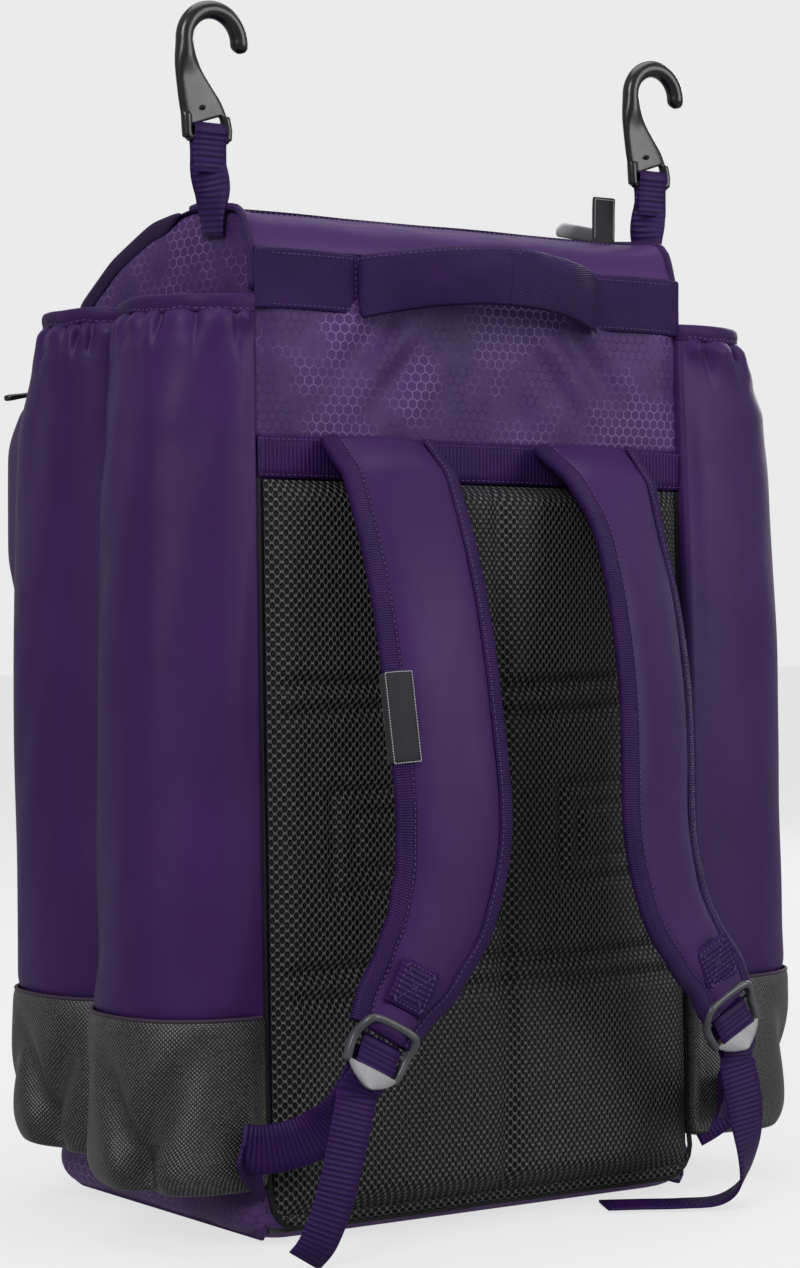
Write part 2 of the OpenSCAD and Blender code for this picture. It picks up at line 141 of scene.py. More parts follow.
def curve(points, steps=8):
    """Smooth curve through points."""
    points = [Vector(p) for p in points]
    last = len(points) - 1
    out = []
    for i in range(last):
        a, b, c, d = points[max(i - 1, 0)], points[i], points[i + 1], points[min(i + 2, last)]
        for k in range(steps):
            t = k / steps
            out.append((2 * b + (c - a) * t + (2 * a - 5 * b + 4 * c - d) * t * t
                        + (3 * b - a - 3 * c + d) * t ** 3) / 2)
    return out + [points[-1]]


def evenly(points, step):
    """The same path with points about step apart."""
    lengths = [0.0]
    for a, b in zip(points, points[1:]):
        lengths.append(lengths[-1] + (b - a).length)
    count = max(2, round(lengths[-1] / step))
    out, k = [], 0
    for i in range(count + 1):
        want = lengths[-1] * i / count
        while k < len(points) - 2 and lengths[k + 1] < want:
            k += 1
        span = max(lengths[k + 1] - lengths[k], 1e-9)
        out.append(points[k].lerp(points[k + 1], (want - lengths[k]) / span))
    return out


def directions(path):
    last = len(path) - 1
    return [(path[min(i + 1, last)] - path[max(i - 1, 0)]).normalized() for i in range(last + 1)]


# ---------------------------------------------------------------- making pieces

def add_piece(name, verts, faces, material, body, corner_uv=None):
    """A mesh in millimetres becomes a piece in metres. corner_uv holds one (u, v) in mm per corner."""
    mesh = bpy.data.meshes.new(name)
    mesh.from_pydata([tuple(Vector(v) * MM) for v in verts], [], faces)
    if corner_uv is not None:
        layer = mesh.uv_layers.new(name="UVMap")
        layer.data.foreach_set("uv", np.array(corner_uv, np.float32).ravel())
    mesh.polygons.foreach_set("use_smooth", [True] * len(mesh.polygons))
    mesh.materials.append(material)
    mesh.update()
    obj = bpy.data.objects.new(name, mesh)
    bpy.context.scene.collection.objects.link(obj)
    if body:
        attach(obj, body)
    return obj


def face_outward(obj):
    work = bmesh.new()
    work.from_mesh(obj.data)
    bmesh.ops.recalc_face_normals(work, faces=work.faces)
    work.to_mesh(obj.data)
    work.free()


def face_along_y(obj, sign):
    """Turns a sheet so that most of its faces look along +Y or -Y."""
    if sign * sum(p.normal.y * p.area for p in obj.data.polygons) < 0:
        obj.data.flip_normals()


def modify(obj, kind, **settings):
    modifier = obj.modifiers.new(kind.title(), kind)
    for key, value in settings.items():
        setattr(modifier, key, value)
    return modifier


def thicken(obj, mm_thick, offset=0.0):
    modify(obj, "SOLIDIFY", thickness=mm_thick * MM, offset=offset)
    return obj


def subdivide(obj, level=1):
    modify(obj, "SUBSURF", levels=level, render_levels=level)
    return obj


def finish_sheet(obj, node, mm_thick, rounded_off=True):
    """Thickens an outward-facing sheet inward, rounds it and puts it in the place of its node."""
    thicken(obj, mm_thick, -1)
    if rounded_off:
        subdivide(obj)
    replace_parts(obj, node)


def freeze(obj):
    """Applies the modifiers."""
    bpy.context.view_layer.update()
    shape = obj.evaluated_get(bpy.context.evaluated_depsgraph_get())
    mesh = bpy.data.meshes.new_from_object(shape)
    obj.modifiers.clear()
    obj.data = mesh
    return obj


def grid(name, rows, material, body, wrap=False, caps=(False, False), uv=None):
    """Quads over rows of points. wrap closes each row, and caps fills the first and last rows.
    The UVs are distances in mm along and across the rows, unless uv(row, column) gives them."""
    count, width = len(rows), len(rows[0])
    spans = width if wrap else width - 1
    across = []
    for row in rows:
        run = [0.0]
        for i in range(spans):
            run.append(run[-1] + (row[(i + 1) % width] - row[i]).length)
        across.append([r - run[-1] / 2 for r in run])
    mid = width // 2
    along = [0.0]
    for j in range(count - 1):
        along.append(along[-1] + (rows[j + 1][mid] - rows[j][mid]).length)
    faces, corner_uv = [], []
    for j in range(count - 1):
        for i in range(spans):
            k = (i + 1) % width
            faces.append((j * width + i, j * width + k, (j + 1) * width + k, (j + 1) * width + i))
            if uv:
                corner_uv += [uv(j, i), uv(j, k), uv(j + 1, k), uv(j + 1, i)]
            else:
                corner_uv += [(across[j][i], along[j]), (across[j][i + 1], along[j]),
                              (across[j + 1][i + 1], along[j + 1]), (across[j + 1][i], along[j + 1])]
    for end, wanted in zip((0, count - 1), caps):
        if wanted:
            ring = [end * width + i for i in range(width)]
            faces.append(ring if end else ring[::-1])
            corner_uv += [(rows[end][i % width].x, rows[end][i % width].y) for i in range(width)]
    return add_piece(name, [p for row in rows for p in row], faces, material, body, corner_uv)


def tube(name, path, radius, material, body, sides=10):
    """Round cord along a path."""
    turns = directions(path)
    normal = turns[0].orthogonal().normalized()
    rows = []
    for p, t in zip(path, turns):
        normal = (normal - t * normal.dot(t)).normalized()
        side = t.cross(normal)
        rows.append([p + (normal * math.cos(a) + side * math.sin(a)) * radius
                     for a in (2 * math.pi * i / sides for i in range(sides))])
    return grid(name, rows, material, body, wrap=True, caps=(True, True))


def ribbon_rows(path, across, width, thick):
    """Cross-sections of webbing along a path: rounded edges, flat faces."""
    shape = [(-.5, 0), (-.48, .5), (-.25, .56), (0, .58), (.25, .56), (.48, .5),
             (.5, 0), (.48, -.5), (.25, -.5), (0, -.5), (-.25, -.5), (-.48, -.5)]
    turns = directions(path)
    rows = []
    for k, (p, t) in enumerate(zip(path, turns)):
        side = across[k] if isinstance(across, list) else across
        side = (side - t * side.dot(t)).normalized()
        normal = t.cross(side)
        wide = width[k] if isinstance(width, list) else width
        rows.append([p + side * (a * wide) + normal * (b * thick) for a, b in shape])
    return rows, [a for a, b in shape]


def ribbon(name, path, across, width, thick, material, body):
    """Webbing along a path. Its UVs are (distance along, distance across)."""
    rows, places = ribbon_rows(path, across, width, thick)
    run = [0.0]
    for a, b in zip(path, path[1:]):
        run.append(run[-1] + (b - a).length)
    wide = width[0] if isinstance(width, list) else width
    return grid(name, rows, material, body, wrap=True, caps=(True, True),
                uv=lambda j, i: (run[j], places[i] * wide))


def solid(name, rings, material, body, level=1, uv=None):
    """Closed piece through rings of points, capped at both ends and rounded off."""
    piece = grid(name, rings, material, body, wrap=True, caps=(True, True), uv=uv)
    face_outward(piece)
    return subdivide(piece, level)


def stitches(name, paths, body, material=None, pitch=3.2, length=2.2, radius=0.26):
    """Running stitches laid along paths, all in one mesh. A path is a list of points."""
    verts, faces = [], []
    for path in paths:
        spots = evenly(path, pitch)
        for a, b in zip(spots, spots[1:]):
            along = (b - a).normalized()
            normal = along.orthogonal().normalized()
            side = along.cross(normal)
            mid = (a + b) / 2
            base = len(verts)
            verts.append(mid - along * length / 2)
            for share in (-0.3, 0.3):
                centre = mid + along * length * share
                verts += [centre + (normal * math.cos(a) + side * math.sin(a)) * radius
                          for a in (k * math.pi / 3 for k in range(6))]
            verts.append(mid + along * length / 2)
            for k in range(6):
                n = (k + 1) % 6
                faces += [(base, base + 1 + n, base + 1 + k),
                          (base + 1 + k, base + 1 + n, base + 7 + n, base + 7 + k),
                          (base + 13, base + 7 + k, base + 7 + n)]
    uv = [(0, 0)] * sum(len(f) for f in faces)
    return add_piece(name, verts, faces, material or THREAD, body, uv)


def block(name, size, matrix, material, bevel):
    """Rounded box of a size in mm, placed by a matrix in mm."""
    work = bmesh.new()
    bmesh.ops.create_cube(work, size=1)
    bmesh.ops.scale(work, vec=Vector(size), verts=work.verts)
    bmesh.ops.bevel(work, geom=work.edges[:], offset=bevel, segments=3, profile=0.5, affect="EDGES")
    verts = [matrix @ v.co for v in work.verts]
    work.verts.index_update()
    faces = [[v.index for v in f.verts] for f in work.faces]
    work.free()
    uv = [(verts[i].x, verts[i].z) for f in faces for i in f]
    return add_piece(name, verts, faces, material, None, uv)


def join(name, parts):
    """Several pieces of one body and material become one."""
    work = bmesh.new()
    for part in parts:
        work.from_mesh(part.data)
    first = parts[0]
    work.to_mesh(first.data)
    work.free()
    for part in parts[1:]:
        bpy.data.objects.remove(part)
    first.name = name
    first.data.name = name
    return first


def moulded(obj, voxel, smooth):
    """Melts a piece's overlapping shapes into one moulding with soft corners."""
    modify(obj, "REMESH", mode="VOXEL", voxel_size=voxel * MM, use_smooth_shade=True)
    modify(obj, "SMOOTH", factor=0.5, iterations=smooth)
    return freeze(obj)


# ---------------------------------------------------------------- shader helpers

def srgb(red, green, blue):
    """Linear colour of an 8-bit display colour."""
    return tuple(((c / 255 + 0.055) / 1.055) ** 2.4 if c > 10 else c / 255 / 12.92
                 for c in (red, green, blue)) + (1.0,)


class Shader:
    """A node material, with short calls for the nodes the patterns need."""

    def __init__(self, name, colour, roughness, specular=0.5, sheen=0.0):
        self.material = bpy.data.materials.new(name)
        self.material.use_nodes = True
        self.tree = self.material.node_tree
        self.out = self.tree.nodes["Principled BSDF"]
        self.set("Base Color", colour)
        self.set("Roughness", roughness)
        self.set("Specular IOR Level", specular)
        self.set("Sheen Weight", sheen)
        self.set("Sheen Roughness", 0.4)
        self.height = None

    def set(self, name, value):
        socket = self.out.inputs[name]
        if isinstance(value, bpy.types.NodeSocket):
            self.tree.links.new(value, socket)
        else:
            socket.default_value = value

    def node(self, kind, values, output=0, **props):
        node = self.tree.nodes.new("ShaderNode" + kind)
        for key, value in props.items():
            setattr(node, key, value)
        for key, value in values.items():
            if isinstance(value, bpy.types.NodeSocket):
                self.tree.links.new(value, node.inputs[key])
            else:
                node.inputs[key].default_value = value
        return node.outputs[output]

    def calc(self, operation, a, b=0.0, c=0.0):
        return self.node("Math", {0: a, 1: b, 2: c}, operation=operation)

    def vector(self, operation, a, b=(0, 0, 0), c=(0, 0, 0), output=0):
        return self.node("VectorMath", {0: a, 1: b, 2: c}, output=output, operation=operation)

    def uv(self):
        return self.node("UVMap", {})

    def place(self):
        """Rest position in mm."""
        spot = self.node("TexCoord", {}, output=3)
        return self.vector("MULTIPLY", spot, (1000, 1000, 1000))

    def part(self, vector, axis):
        return self.node("SeparateXYZ", {0: vector}, output=axis)

    def flat(self, across, along):
        return self.node("CombineXYZ", {0: across, 1: along, 2: 0.0})

    def noise(self, vector, scale, detail=2.0):
        return self.node("TexNoise", {"Vector": vector, "Scale": scale, "Detail": detail})

    def ramp(self, value, low, high):
        return self.node("MapRange", {"Value": value, "From Min": low, "From Max": high},
                         interpolation_type="SMOOTHSTEP")

    def mix(self, share, first, second):
        return self.node("MixRGB", {"Fac": share, "Color1": first, "Color2": second})

    def bump(self, height, depth, strength=1.0):
        """Adds a bump of so many mm to the ones before it."""
        values = {"Height": height, "Distance": depth * MM, "Strength": strength}
        if self.height:
            values["Normal"] = self.height
        self.height = self.node("Bump", values)
        self.set("Normal", self.height)


def hexagons(s, spot, pitch):
    """0 in the middle of each hexagon of a honeycomb, rising to 0.5 on its edges."""
    half = (0.5, math.sqrt(3) / 2, 1.0)
    spot = s.vector("SCALE", spot)
    spot.node.inputs["Scale"].default_value = 1 / pitch
    shares = []
    for shift in ((0, 0, 0), (0.5, half[1], 0)):
        local = s.vector("WRAP", s.vector("ADD", spot, shift), half, tuple(-h for h in half))
        local = s.vector("ABSOLUTE", local)
        slant = s.vector("DOT_PRODUCT", local, (0.5, half[1], 0), output=1)
        shares.append(s.calc("MAXIMUM", slant, s.part(local, 0)))
    return s.calc("MINIMUM", *shares)


def staggered(s, spot, pitch_x, pitch_y, squash):
    """Distance from the nearest point of a staggered grid, in pitches."""
    spot = s.vector("MULTIPLY", spot, (1 / pitch_x, 1 / pitch_y, 0))
    reach = []
    for shift in ((0, 0, 0), (0.5, 0.5, 0)):
        local = s.vector("WRAP", s.vector("ADD", spot, shift), (.5, .5, .5), (-.5, -.5, -.5))
        local = s.vector("MULTIPLY", local, (1, squash, 0))
        reach.append(s.vector("LENGTH", local, output=1))
    return s.calc("MINIMUM", *reach)


def wave(s, value, pitch):
    """Smooth ridges, 0 to 1, every pitch."""
    turn = s.calc("MULTIPLY", value, 2 * math.pi / pitch)
    return s.calc("MULTIPLY_ADD", s.calc("SINE", turn), 0.5, 0.5)


def scaled(colour, share):
    return tuple(min(1, c * share) for c in colour[:3]) + (1,)


def shades(s, colour, darker, lighter, scale):
    """Colour that drifts slowly over the cloth."""
    drift = s.noise(s.place(), scale, 3.0)
    return s.mix(s.ramp(drift, 0.3, 0.7), scaled(colour, darker), scaled(colour, lighter))


def coated_cloth(name, colour, roughness=0.47):
    s = Shader(name, colour, roughness, specular=0.15)
    s.set("Base Color", shades(s, colour, 0.9, 1.1, 0.012))
    s.set("Roughness", s.calc("MULTIPLY_ADD", s.noise(s.place(), 0.09, 4.0), 0.14, roughness - 0.07))
    fine = s.noise(s.place(), 1.6, 2.0)
    s.bump(fine, 0.05, 0.6)
    s.bump(s.noise(s.place(), 0.11, 3.0), 0.35, 0.5)
    return s.material


def hex_ripstop(name, colour, line, plane="uv"):
    s = Shader(name, colour, 0.52, specular=0.18)
    if plane == "uv":
        spot = s.uv()
    else:
        along = s.calc("MULTIPLY", s.part(s.place(), "xyz".index(plane)), 0.72)
        spot = s.flat(along, s.part(s.place(), 2))
    edge = s.ramp(hexagons(s, spot, 5.5), 0.43, 0.475)
    glint = s.ramp(s.noise(s.place(), 0.02, 3.0), 0.42, 0.62)
    dark = scaled(colour, 0.55)
    base = shades(s, colour, 0.86, 1.14, 0.018)
    weave = s.calc("MULTIPLY", wave(s, s.part(spot, 0), 0.9), wave(s, s.part(spot, 1), 0.9))
    base = s.mix(s.calc("MULTIPLY", weave, 0.35), base, scaled(colour, 0.7))
    s.set("Base Color", s.mix(edge, base, s.mix(glint, dark, line)))
    s.bump(edge, 0.12, 0.7)
    s.bump(weave, 0.06, 0.5)
    s.bump(s.noise(s.place(), 0.05, 3.0), 0.8, 0.4)
    return s.material


def webbing_cloth(name, colour, pitch=2.1, twill=False):
    """Polyester webbing: ribs across its length, or fine slanted twill."""
    s = Shader(name, colour, 0.5, specular=0.15)
    along, across = s.part(s.uv(), 0), s.part(s.uv(), 1)
    if twill:
        slant = s.calc("MULTIPLY_ADD", across, 0.28, along)
        ribs = wave(s, slant, 1.25)
    else:
        ribs = s.calc("POWER", wave(s, along, pitch), 0.6)
    threads = wave(s, across, 0.8)
    base = shades(s, colour, 0.85, 1.15, 0.03)
    between = s.calc("MULTIPLY", s.calc("SUBTRACT", 1.0, ribs), 0.62)
    s.set("Base Color", s.mix(between, base, scaled(colour, 0.3)))
    s.bump(ribs, 0.4 if not twill else 0.2, 0.9)
    s.bump(threads, 0.08, 0.5)
    return s.material


def spacer_mesh(name):
    s = Shader(name, srgb(26, 26, 28), 0.55, specular=0.2)
    reach = staggered(s, s.uv(), 4.1, 5.0, 0.74)
    hole = s.ramp(reach, 0.27, 0.17)
    strand = s.ramp(reach, 0.19, 0.36)
    knit = s.noise(s.place(), 2.2, 2.0)
    lit = s.calc("MULTIPLY", strand, s.ramp(knit, 0.25, 0.75))
    colour = s.mix(lit, srgb(28, 28, 29), srgb(118, 118, 120))
    # The holes are painted near-black: painted shade in the depth of the mesh.
    s.set("Base Color", s.mix(hole, colour, srgb(1, 1, 2)))
    s.bump(s.calc("SUBTRACT", strand, s.calc("MULTIPLY", hole, 1.6)), 0.7, 1.0)
    s.bump(knit, 0.12, 0.6)
    return s.material


def ballistic(name, colour, highlight_colour):
    s = Shader(name, colour, 0.38, specular=0.5)
    across, along = s.part(s.uv(), 0), s.part(s.uv(), 1)
    turn = 2 * math.pi / 2.3
    over = s.calc("MULTIPLY", s.calc("SINE", s.calc("MULTIPLY", across, turn)),
                  s.calc("SINE", s.calc("MULTIPLY", along, turn)))
    over = s.calc("MULTIPLY_ADD", over, 0.5, 0.5)
    fibre = s.noise(s.place(), 1.3, 3.0)
    # The raised threads of the black nylon are painted light grey: a painted highlight on the weave.
    threads = s.calc("MULTIPLY", s.ramp(over, 0.45, 0.85), s.ramp(fibre, 0.3, 0.6))
    s.set("Base Color", s.mix(threads, colour, highlight_colour))
    s.bump(over, 0.3, 0.9)
    s.bump(fibre, 0.1, 0.5)
    return s.material


def plastic(name, colour, roughness, grain=0.0):
    s = Shader(name, colour, roughness)
    s.set("Roughness", s.calc("MULTIPLY_ADD", s.noise(s.place(), 0.15, 3.0), 0.16, roughness - 0.08))
    s.set("Base Color", shades(s, colour, 0.9, 1.2, 0.05))
    if grain:
        s.bump(s.noise(s.place(), 2.5, 2.0), grain, 0.6)
    return s.material


def plain_cloth(name, colour, roughness=0.8, pitch=1.0):
    s = Shader(name, colour, roughness, specular=0.2, sheen=0.1)
    spot = s.place()
    weave = s.calc("MULTIPLY", wave(s, s.part(spot, 0), pitch), wave(s, s.part(spot, 2), pitch))
    s.set("Base Color", s.mix(s.calc("MULTIPLY", weave, 0.4), colour, scaled(colour, 0.5)))
    s.bump(weave, 0.1, 0.6)
    return s.material


PURPLE = srgb(53, 27, 79)
# Lighter purple of the top strip: painted light from above on the same coated cloth.
PURPLE_TOPLIT = srgb(63, 37, 88)
PURPLE_WEB = srgb(44, 16, 74)
HEX_BASE = srgb(66, 41, 92)
HEX_LINE = srgb(120, 94, 150)
COATED = coated_cloth("coated_cloth", PURPLE)
COATED_TOPLIT = coated_cloth("coated_cloth_painted_toplight", PURPLE_TOPLIT, 0.5)
RIPSTOP = hex_ripstop("hex_ripstop", HEX_BASE, HEX_LINE)
RIPSTOP_SIDE = hex_ripstop("hex_ripstop_side", srgb(62, 36, 88), srgb(112, 88, 142), plane="y")
WEBBING = webbing_cloth("webbing", PURPLE_WEB, pitch=2.7)
TWILL = webbing_cloth("webbing_twill", PURPLE_WEB, twill=True)
GROSGRAIN = webbing_cloth("grosgrain", srgb(48, 22, 76), pitch=1.35)
GROSGRAIN_BAND = webbing_cloth("grosgrain_band", srgb(48, 20, 78), pitch=2.4)
MESH = spacer_mesh("spacer_mesh")
# Black ballistic nylon; its light grey thread colour is a painted highlight.
BALLISTIC = ballistic("ballistic_nylon", srgb(7, 7, 8), srgb(98, 98, 98))
HOOK_PLASTIC = plastic("hook_plastic", srgb(15, 15, 16), 0.25)
BUCKLE_PLASTIC = plastic("buckle_plastic", srgb(62, 63, 67), 0.3, grain=0.03)
# Light grey thumb tab on plastic as dark as the buckle: painted highlight.
TAB_PLASTIC_HIGHLIT = plastic("tab_plastic", srgb(132, 132, 135), 0.4, grain=0.05)
PULL_BLACK = plastic("pull_black", srgb(24, 24, 26), 0.3)
PULL_GREY = plastic("pull_grey", srgb(168, 168, 170), 0.5)
METAL_BLACK = plastic("slider_metal", srgb(30, 30, 33), 0.28)
LABEL = plain_cloth("label_cloth", srgb(44, 44, 47), 0.7, 0.7)
LABEL_THREAD = plain_cloth("label_thread", srgb(165, 165, 168), 0.7, 0.5)
THREAD = plain_cloth("thread", srgb(86, 62, 116), 0.6, 0.4)
THREAD_DIM = plain_cloth("thread_dim", srgb(98, 76, 126), 0.6, 0.4)
THREAD_DARK = plain_cloth("thread_dark", srgb(48, 47, 50), 0.6, 0.4)
FOAM = plain_cloth("foam", srgb(52, 52, 55), 0.9, 2.0)
BOARD = plastic("board", srgb(40, 40, 42), 0.6, grain=0.05)
LINING = plain_cloth("lining", srgb(62, 44, 82), 0.7, 0.8)
ZIP_TAPE = webbing_cloth("zip_tape", srgb(44, 24, 64), pitch=1.3)
ZIP_COIL = plastic("zip_coil", srgb(38, 27, 54), 0.4)
RIM_TWILL = coated_cloth("rim_cloth", srgb(48, 22, 72), 0.55)
SEAM_TAPE = plain_cloth("seam_tape", srgb(58, 44, 62), 0.7, 1.2)
PIPING = webbing_cloth("piping_cloth", srgb(56, 32, 84), pitch=1.4)
# Darker coated cloth for the lid's turned-down lip: painted shade under the lid's overhang.
LIP_SHADED = coated_cloth("lip_cloth", srgb(34, 14, 54), 0.5)
# Lighter ripstop for the tray: painted light that makes up for the shade it gets under the boots.
RIPSTOP_TRAY_LIT = hex_ripstop("hex_ripstop_tray_painted_light", srgb(88, 60, 116), srgb(132, 108, 160), plane="y")
PIPING_BLACK = webbing_cloth("piping_black", srgb(26, 26, 28), pitch=1.5)
HOOK_WEB = webbing_cloth("hook_webbing", srgb(46, 20, 76), pitch=3.1)
# Near-black stand-in for a hole: painted shade.
HOLE_SHADE = plastic("painted_hole_shade", srgb(6, 6, 7), 0.8)


# ---------------------------------------------------------------- bat sleeves

SLEEVE_X = RIM[0].x
RIM_LOW, RIM_HIGH = RIM[0].z + 3.5, RIM[1].z - 0.8
SEAM_Z = BOOT["rear"][1].z
ARC = 92
MOUTH_Z = 485
# How far each sleeve stands out from the bag, as (height, reach) pairs.
BULGES = {
    ("left", "rear"): [(30, 62), (118, 62), (300, 60), (380, 56), (420, 52), (462, 49), (482, 42),
                       (492, 41)],
    ("left", "front"): [(30, 48), (118, 49), (300, 50), (420, 49), (462, 48), (482, 42), (492, 41)],
    ("right", "rear"): [(30, 90), (118, 95), (300, 94), (400, 91), (440, 87), (462, 78), (482, 63),
                        (492, 60)],
    ("right", "front"): [(30, 50), (118, 52), (300, 51), (420, 50), (462, 49), (482, 43), (492, 42)],
}


def sleeve_span(side, place, z):
    """Y of a sleeve's two edges at height z."""
    rear = z * math.tan(LEAN) + FOOT_Y - 3
    if place == "front":
        return 3, 105 - 25 * ease((z - 420) / 60)
    if side == "right":
        rear -= 8 * bell(z - 230, 240)
    return rear, 0


def sleeve_arc(side, place, z, grow=0.0):
    """Points round the outside of a sleeve from its back edge to its front edge, and normals."""
    y0, y1 = sleeve_span(side, place, z)
    b = table(z, BULGES[side, place]) + grow
    half, mid = (y1 - y0) / 2 + grow, (y0 + y1) / 2
    ring = []
    for i in range(ARC + 1):
        t = math.pi * i / ARC
        c = math.cos(t)
        boxy = 0.74 if side == "right" and c > 0 else 0.84
        ring.append(Vector((b * math.sin(t) ** (boxy - 0.1) if 0 < i < ARC else 0.0,
                            mid - half * math.copysign(abs(c) ** boxy, c), 0)))
    ring = evenly(ring, sum((q - p).length for p, q in zip(ring, ring[1:])) / ARC)
    turns = directions(ring)
    normals = [Vector((t.y, -t.x, 0)) for t in turns]
    return ring, normals


class Gathers:
    """Puffs of cloth that hang from an elastic rim, with sharp creases between them."""

    def __init__(self, seed, count):
        rng = random.Random(seed)
        widths = [rng.uniform(0.55, 1.5) for _ in range(count)]
        self.edges = [0.0]
        for w in widths:
            self.edges.append(self.edges[-1] + w / sum(widths))
        self.tall = [rng.uniform(7, 13) for _ in widths]
        self.deep = [rng.uniform(7, 10.5) for _ in widths]
        self.slant = [rng.uniform(-0.0014, 0.0014) for _ in widths]

    def push(self, share, depth):
        """Outward push at a share of the way round, so far below the rim."""
        for k, (a, b) in enumerate(zip(self.edges, self.edges[1:])):
            lean = self.slant[k] * depth
            if a + lean <= share <= b + lean or k == len(self.tall) - 1:
                inside = min(1, max(0, (share - a - lean) / (b - a)))
                dome = arch(inside) ** 0.42
                rise = ease(depth / 4.5)
                fade = math.exp(-(max(0, depth - 5) / self.tall[k]) ** 1.8)
                return self.deep[k] * rise * fade * (dome - 0.42)
        return 0.0


def folds(share, z, seed):
    """Long soft folds of a full-height sleeve."""
    drop = ease((RIM_LOW - z) / 60) * ease((z - SEAM_Z) / 30)
    long = bumps(share * 4.6, z * 0.0036, 0.3, seed) * 3.4
    slant = bumps(share * 7 + z * 0.012, z * 0.010, 2.0, seed + 3) * 1.3
    return (long + slant) * drop


def place_ring(side, points, z):
    s = SIDES[side]
    ends = (0, len(points) - 1)
    return [Vector((s * (SLEEVE_X + p.x - (1.6 if i in ends else 0)), p.y, p.z if p.z else z))
            for i, p in enumerate(points)]


def tucked(row):
    """A ring with both its ends turned in along the bag's side."""
    return ([row[0] + Vector((0, 13, 0))] + row + [row[-1] - Vector((0, 13, 0))])


def make_sleeve(side, place, seed):
    gathers = Gathers(seed, 9)
    gathered = 70
    levels = [SEAM_Z + 0.4, SEAM_Z + 2.5, SEAM_Z + 6, SEAM_Z + 12]
    levels += [SEAM_Z + 12 + (RIM_LOW - gathered - SEAM_Z - 12) * k / 26 for k in range(1, 27)]
    levels += [RIM_LOW - gathered + (gathered - 2) * k / 24 for k in range(1, 25)] + [RIM_LOW + 3]
    name = f"sleeve_{side}_{place}"
    rows = []
    for z in levels:
        tuck = -1.6 * bell(z - SEAM_Z, 3.5)
        ring, normals = sleeve_arc(side, place, z)
        count = len(ring) - 1
        points = []
        for i, (p, n) in enumerate(zip(ring, normals)):
            share = i / count
            edge = ease(min(share, 1 - share) / 0.06)
            push = gathers.push(share, RIM_LOW + 2 - z) + folds(share, z, seed) + tuck
            if z > RIM_LOW - 4:
                push -= 1.0 * ease((z - RIM_LOW + 4) / 5)
            q = p + n * push * edge
            points.append(Vector((max(q.x, 0.1), q.y, 0)))
        rows.append(tucked(place_ring(side, points, z)))
    sleeve = grid(name, rows, COATED, "pack")
    face_outward(sleeve)
    thicken(sleeve, 1.2, -1 if outward_is_out(sleeve, side) else 1)
    subdivide(sleeve)
    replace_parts(sleeve, name)

    wavy = random.Random(seed + 5).uniform(0, 9)

    def rim_point(ring, normals, i, z, out):
        share = i / (len(ring) - 1)
        ripple = bumps(share * 8, wavy, z * 0.05, 1) * 1.3 * ease(min(share, 1 - share) / 0.06)
        low = (RIM_HIGH - z) / (RIM_HIGH - RIM_LOW)
        sag = bumps(share * 11, wavy, 4.4, 2) * 2.2 * low
        p = ring[i] + normals[i] * (out + ripple * (0.5 + 0.5 * low))
        return Vector((max(p.x, 0.1), p.y, z + sag + bumps(share * 5, wavy, 7.7, 4) * 1.2))

    section = [(RIM_LOW - 1, -0.6), (RIM_LOW - 0.6, 1.1), (RIM_LOW + 1.4, 0.9), (RIM_LOW + 2.2, 1.4),
               (RIM_LOW + 5, 1.8), (RIM_HIGH - 1.2, 1.4), (RIM_HIGH, 0.2), (RIM_HIGH - 0.4, -1.2),
               (RIM_HIGH - 3, -2.0), (RIM_LOW, -2.0)]
    rows = []
    ring, normals = sleeve_arc(side, place, MOUTH_Z)
    for z, out in section:
        points = [rim_point(ring, normals, i, z, out) for i in range(len(ring))]
        rows.append(tucked(place_ring(side, points, z)))
    rows.append([v.copy() for v in rows[0]])
    rim = grid(f"rim_{side}_{place}", rows, RIM_TWILL, "pack")
    weld(rim)
    subdivide(rim)
    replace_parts(rim, f"rim_{side}_{place}")
    line = place_ring(side, [rim_point(ring, normals, i, RIM_LOW + 1.2, 1.2)
                             for i in range(3, len(ring) - 3)], RIM_LOW)
    stitches(f"rim_stitches_{side}_{place}", [line], "pack", THREAD_DIM, pitch=4.0)


def outward_is_out(obj, side):
    """Whether most faces of an open sheet face away from the bag's middle."""
    total = sum(p.normal.x * p.area for p in obj.data.polygons)
    return total * SIDES[side] > 0


def weld(obj):
    """Merges the doubled points of a closed seam."""
    work = bmesh.new()
    work.from_mesh(obj.data)
    bmesh.ops.remove_doubles(work, verts=work.verts, dist=1e-6)
    bmesh.ops.recalc_face_normals(work, faces=work.faces)
    work.to_mesh(obj.data)
    work.free()


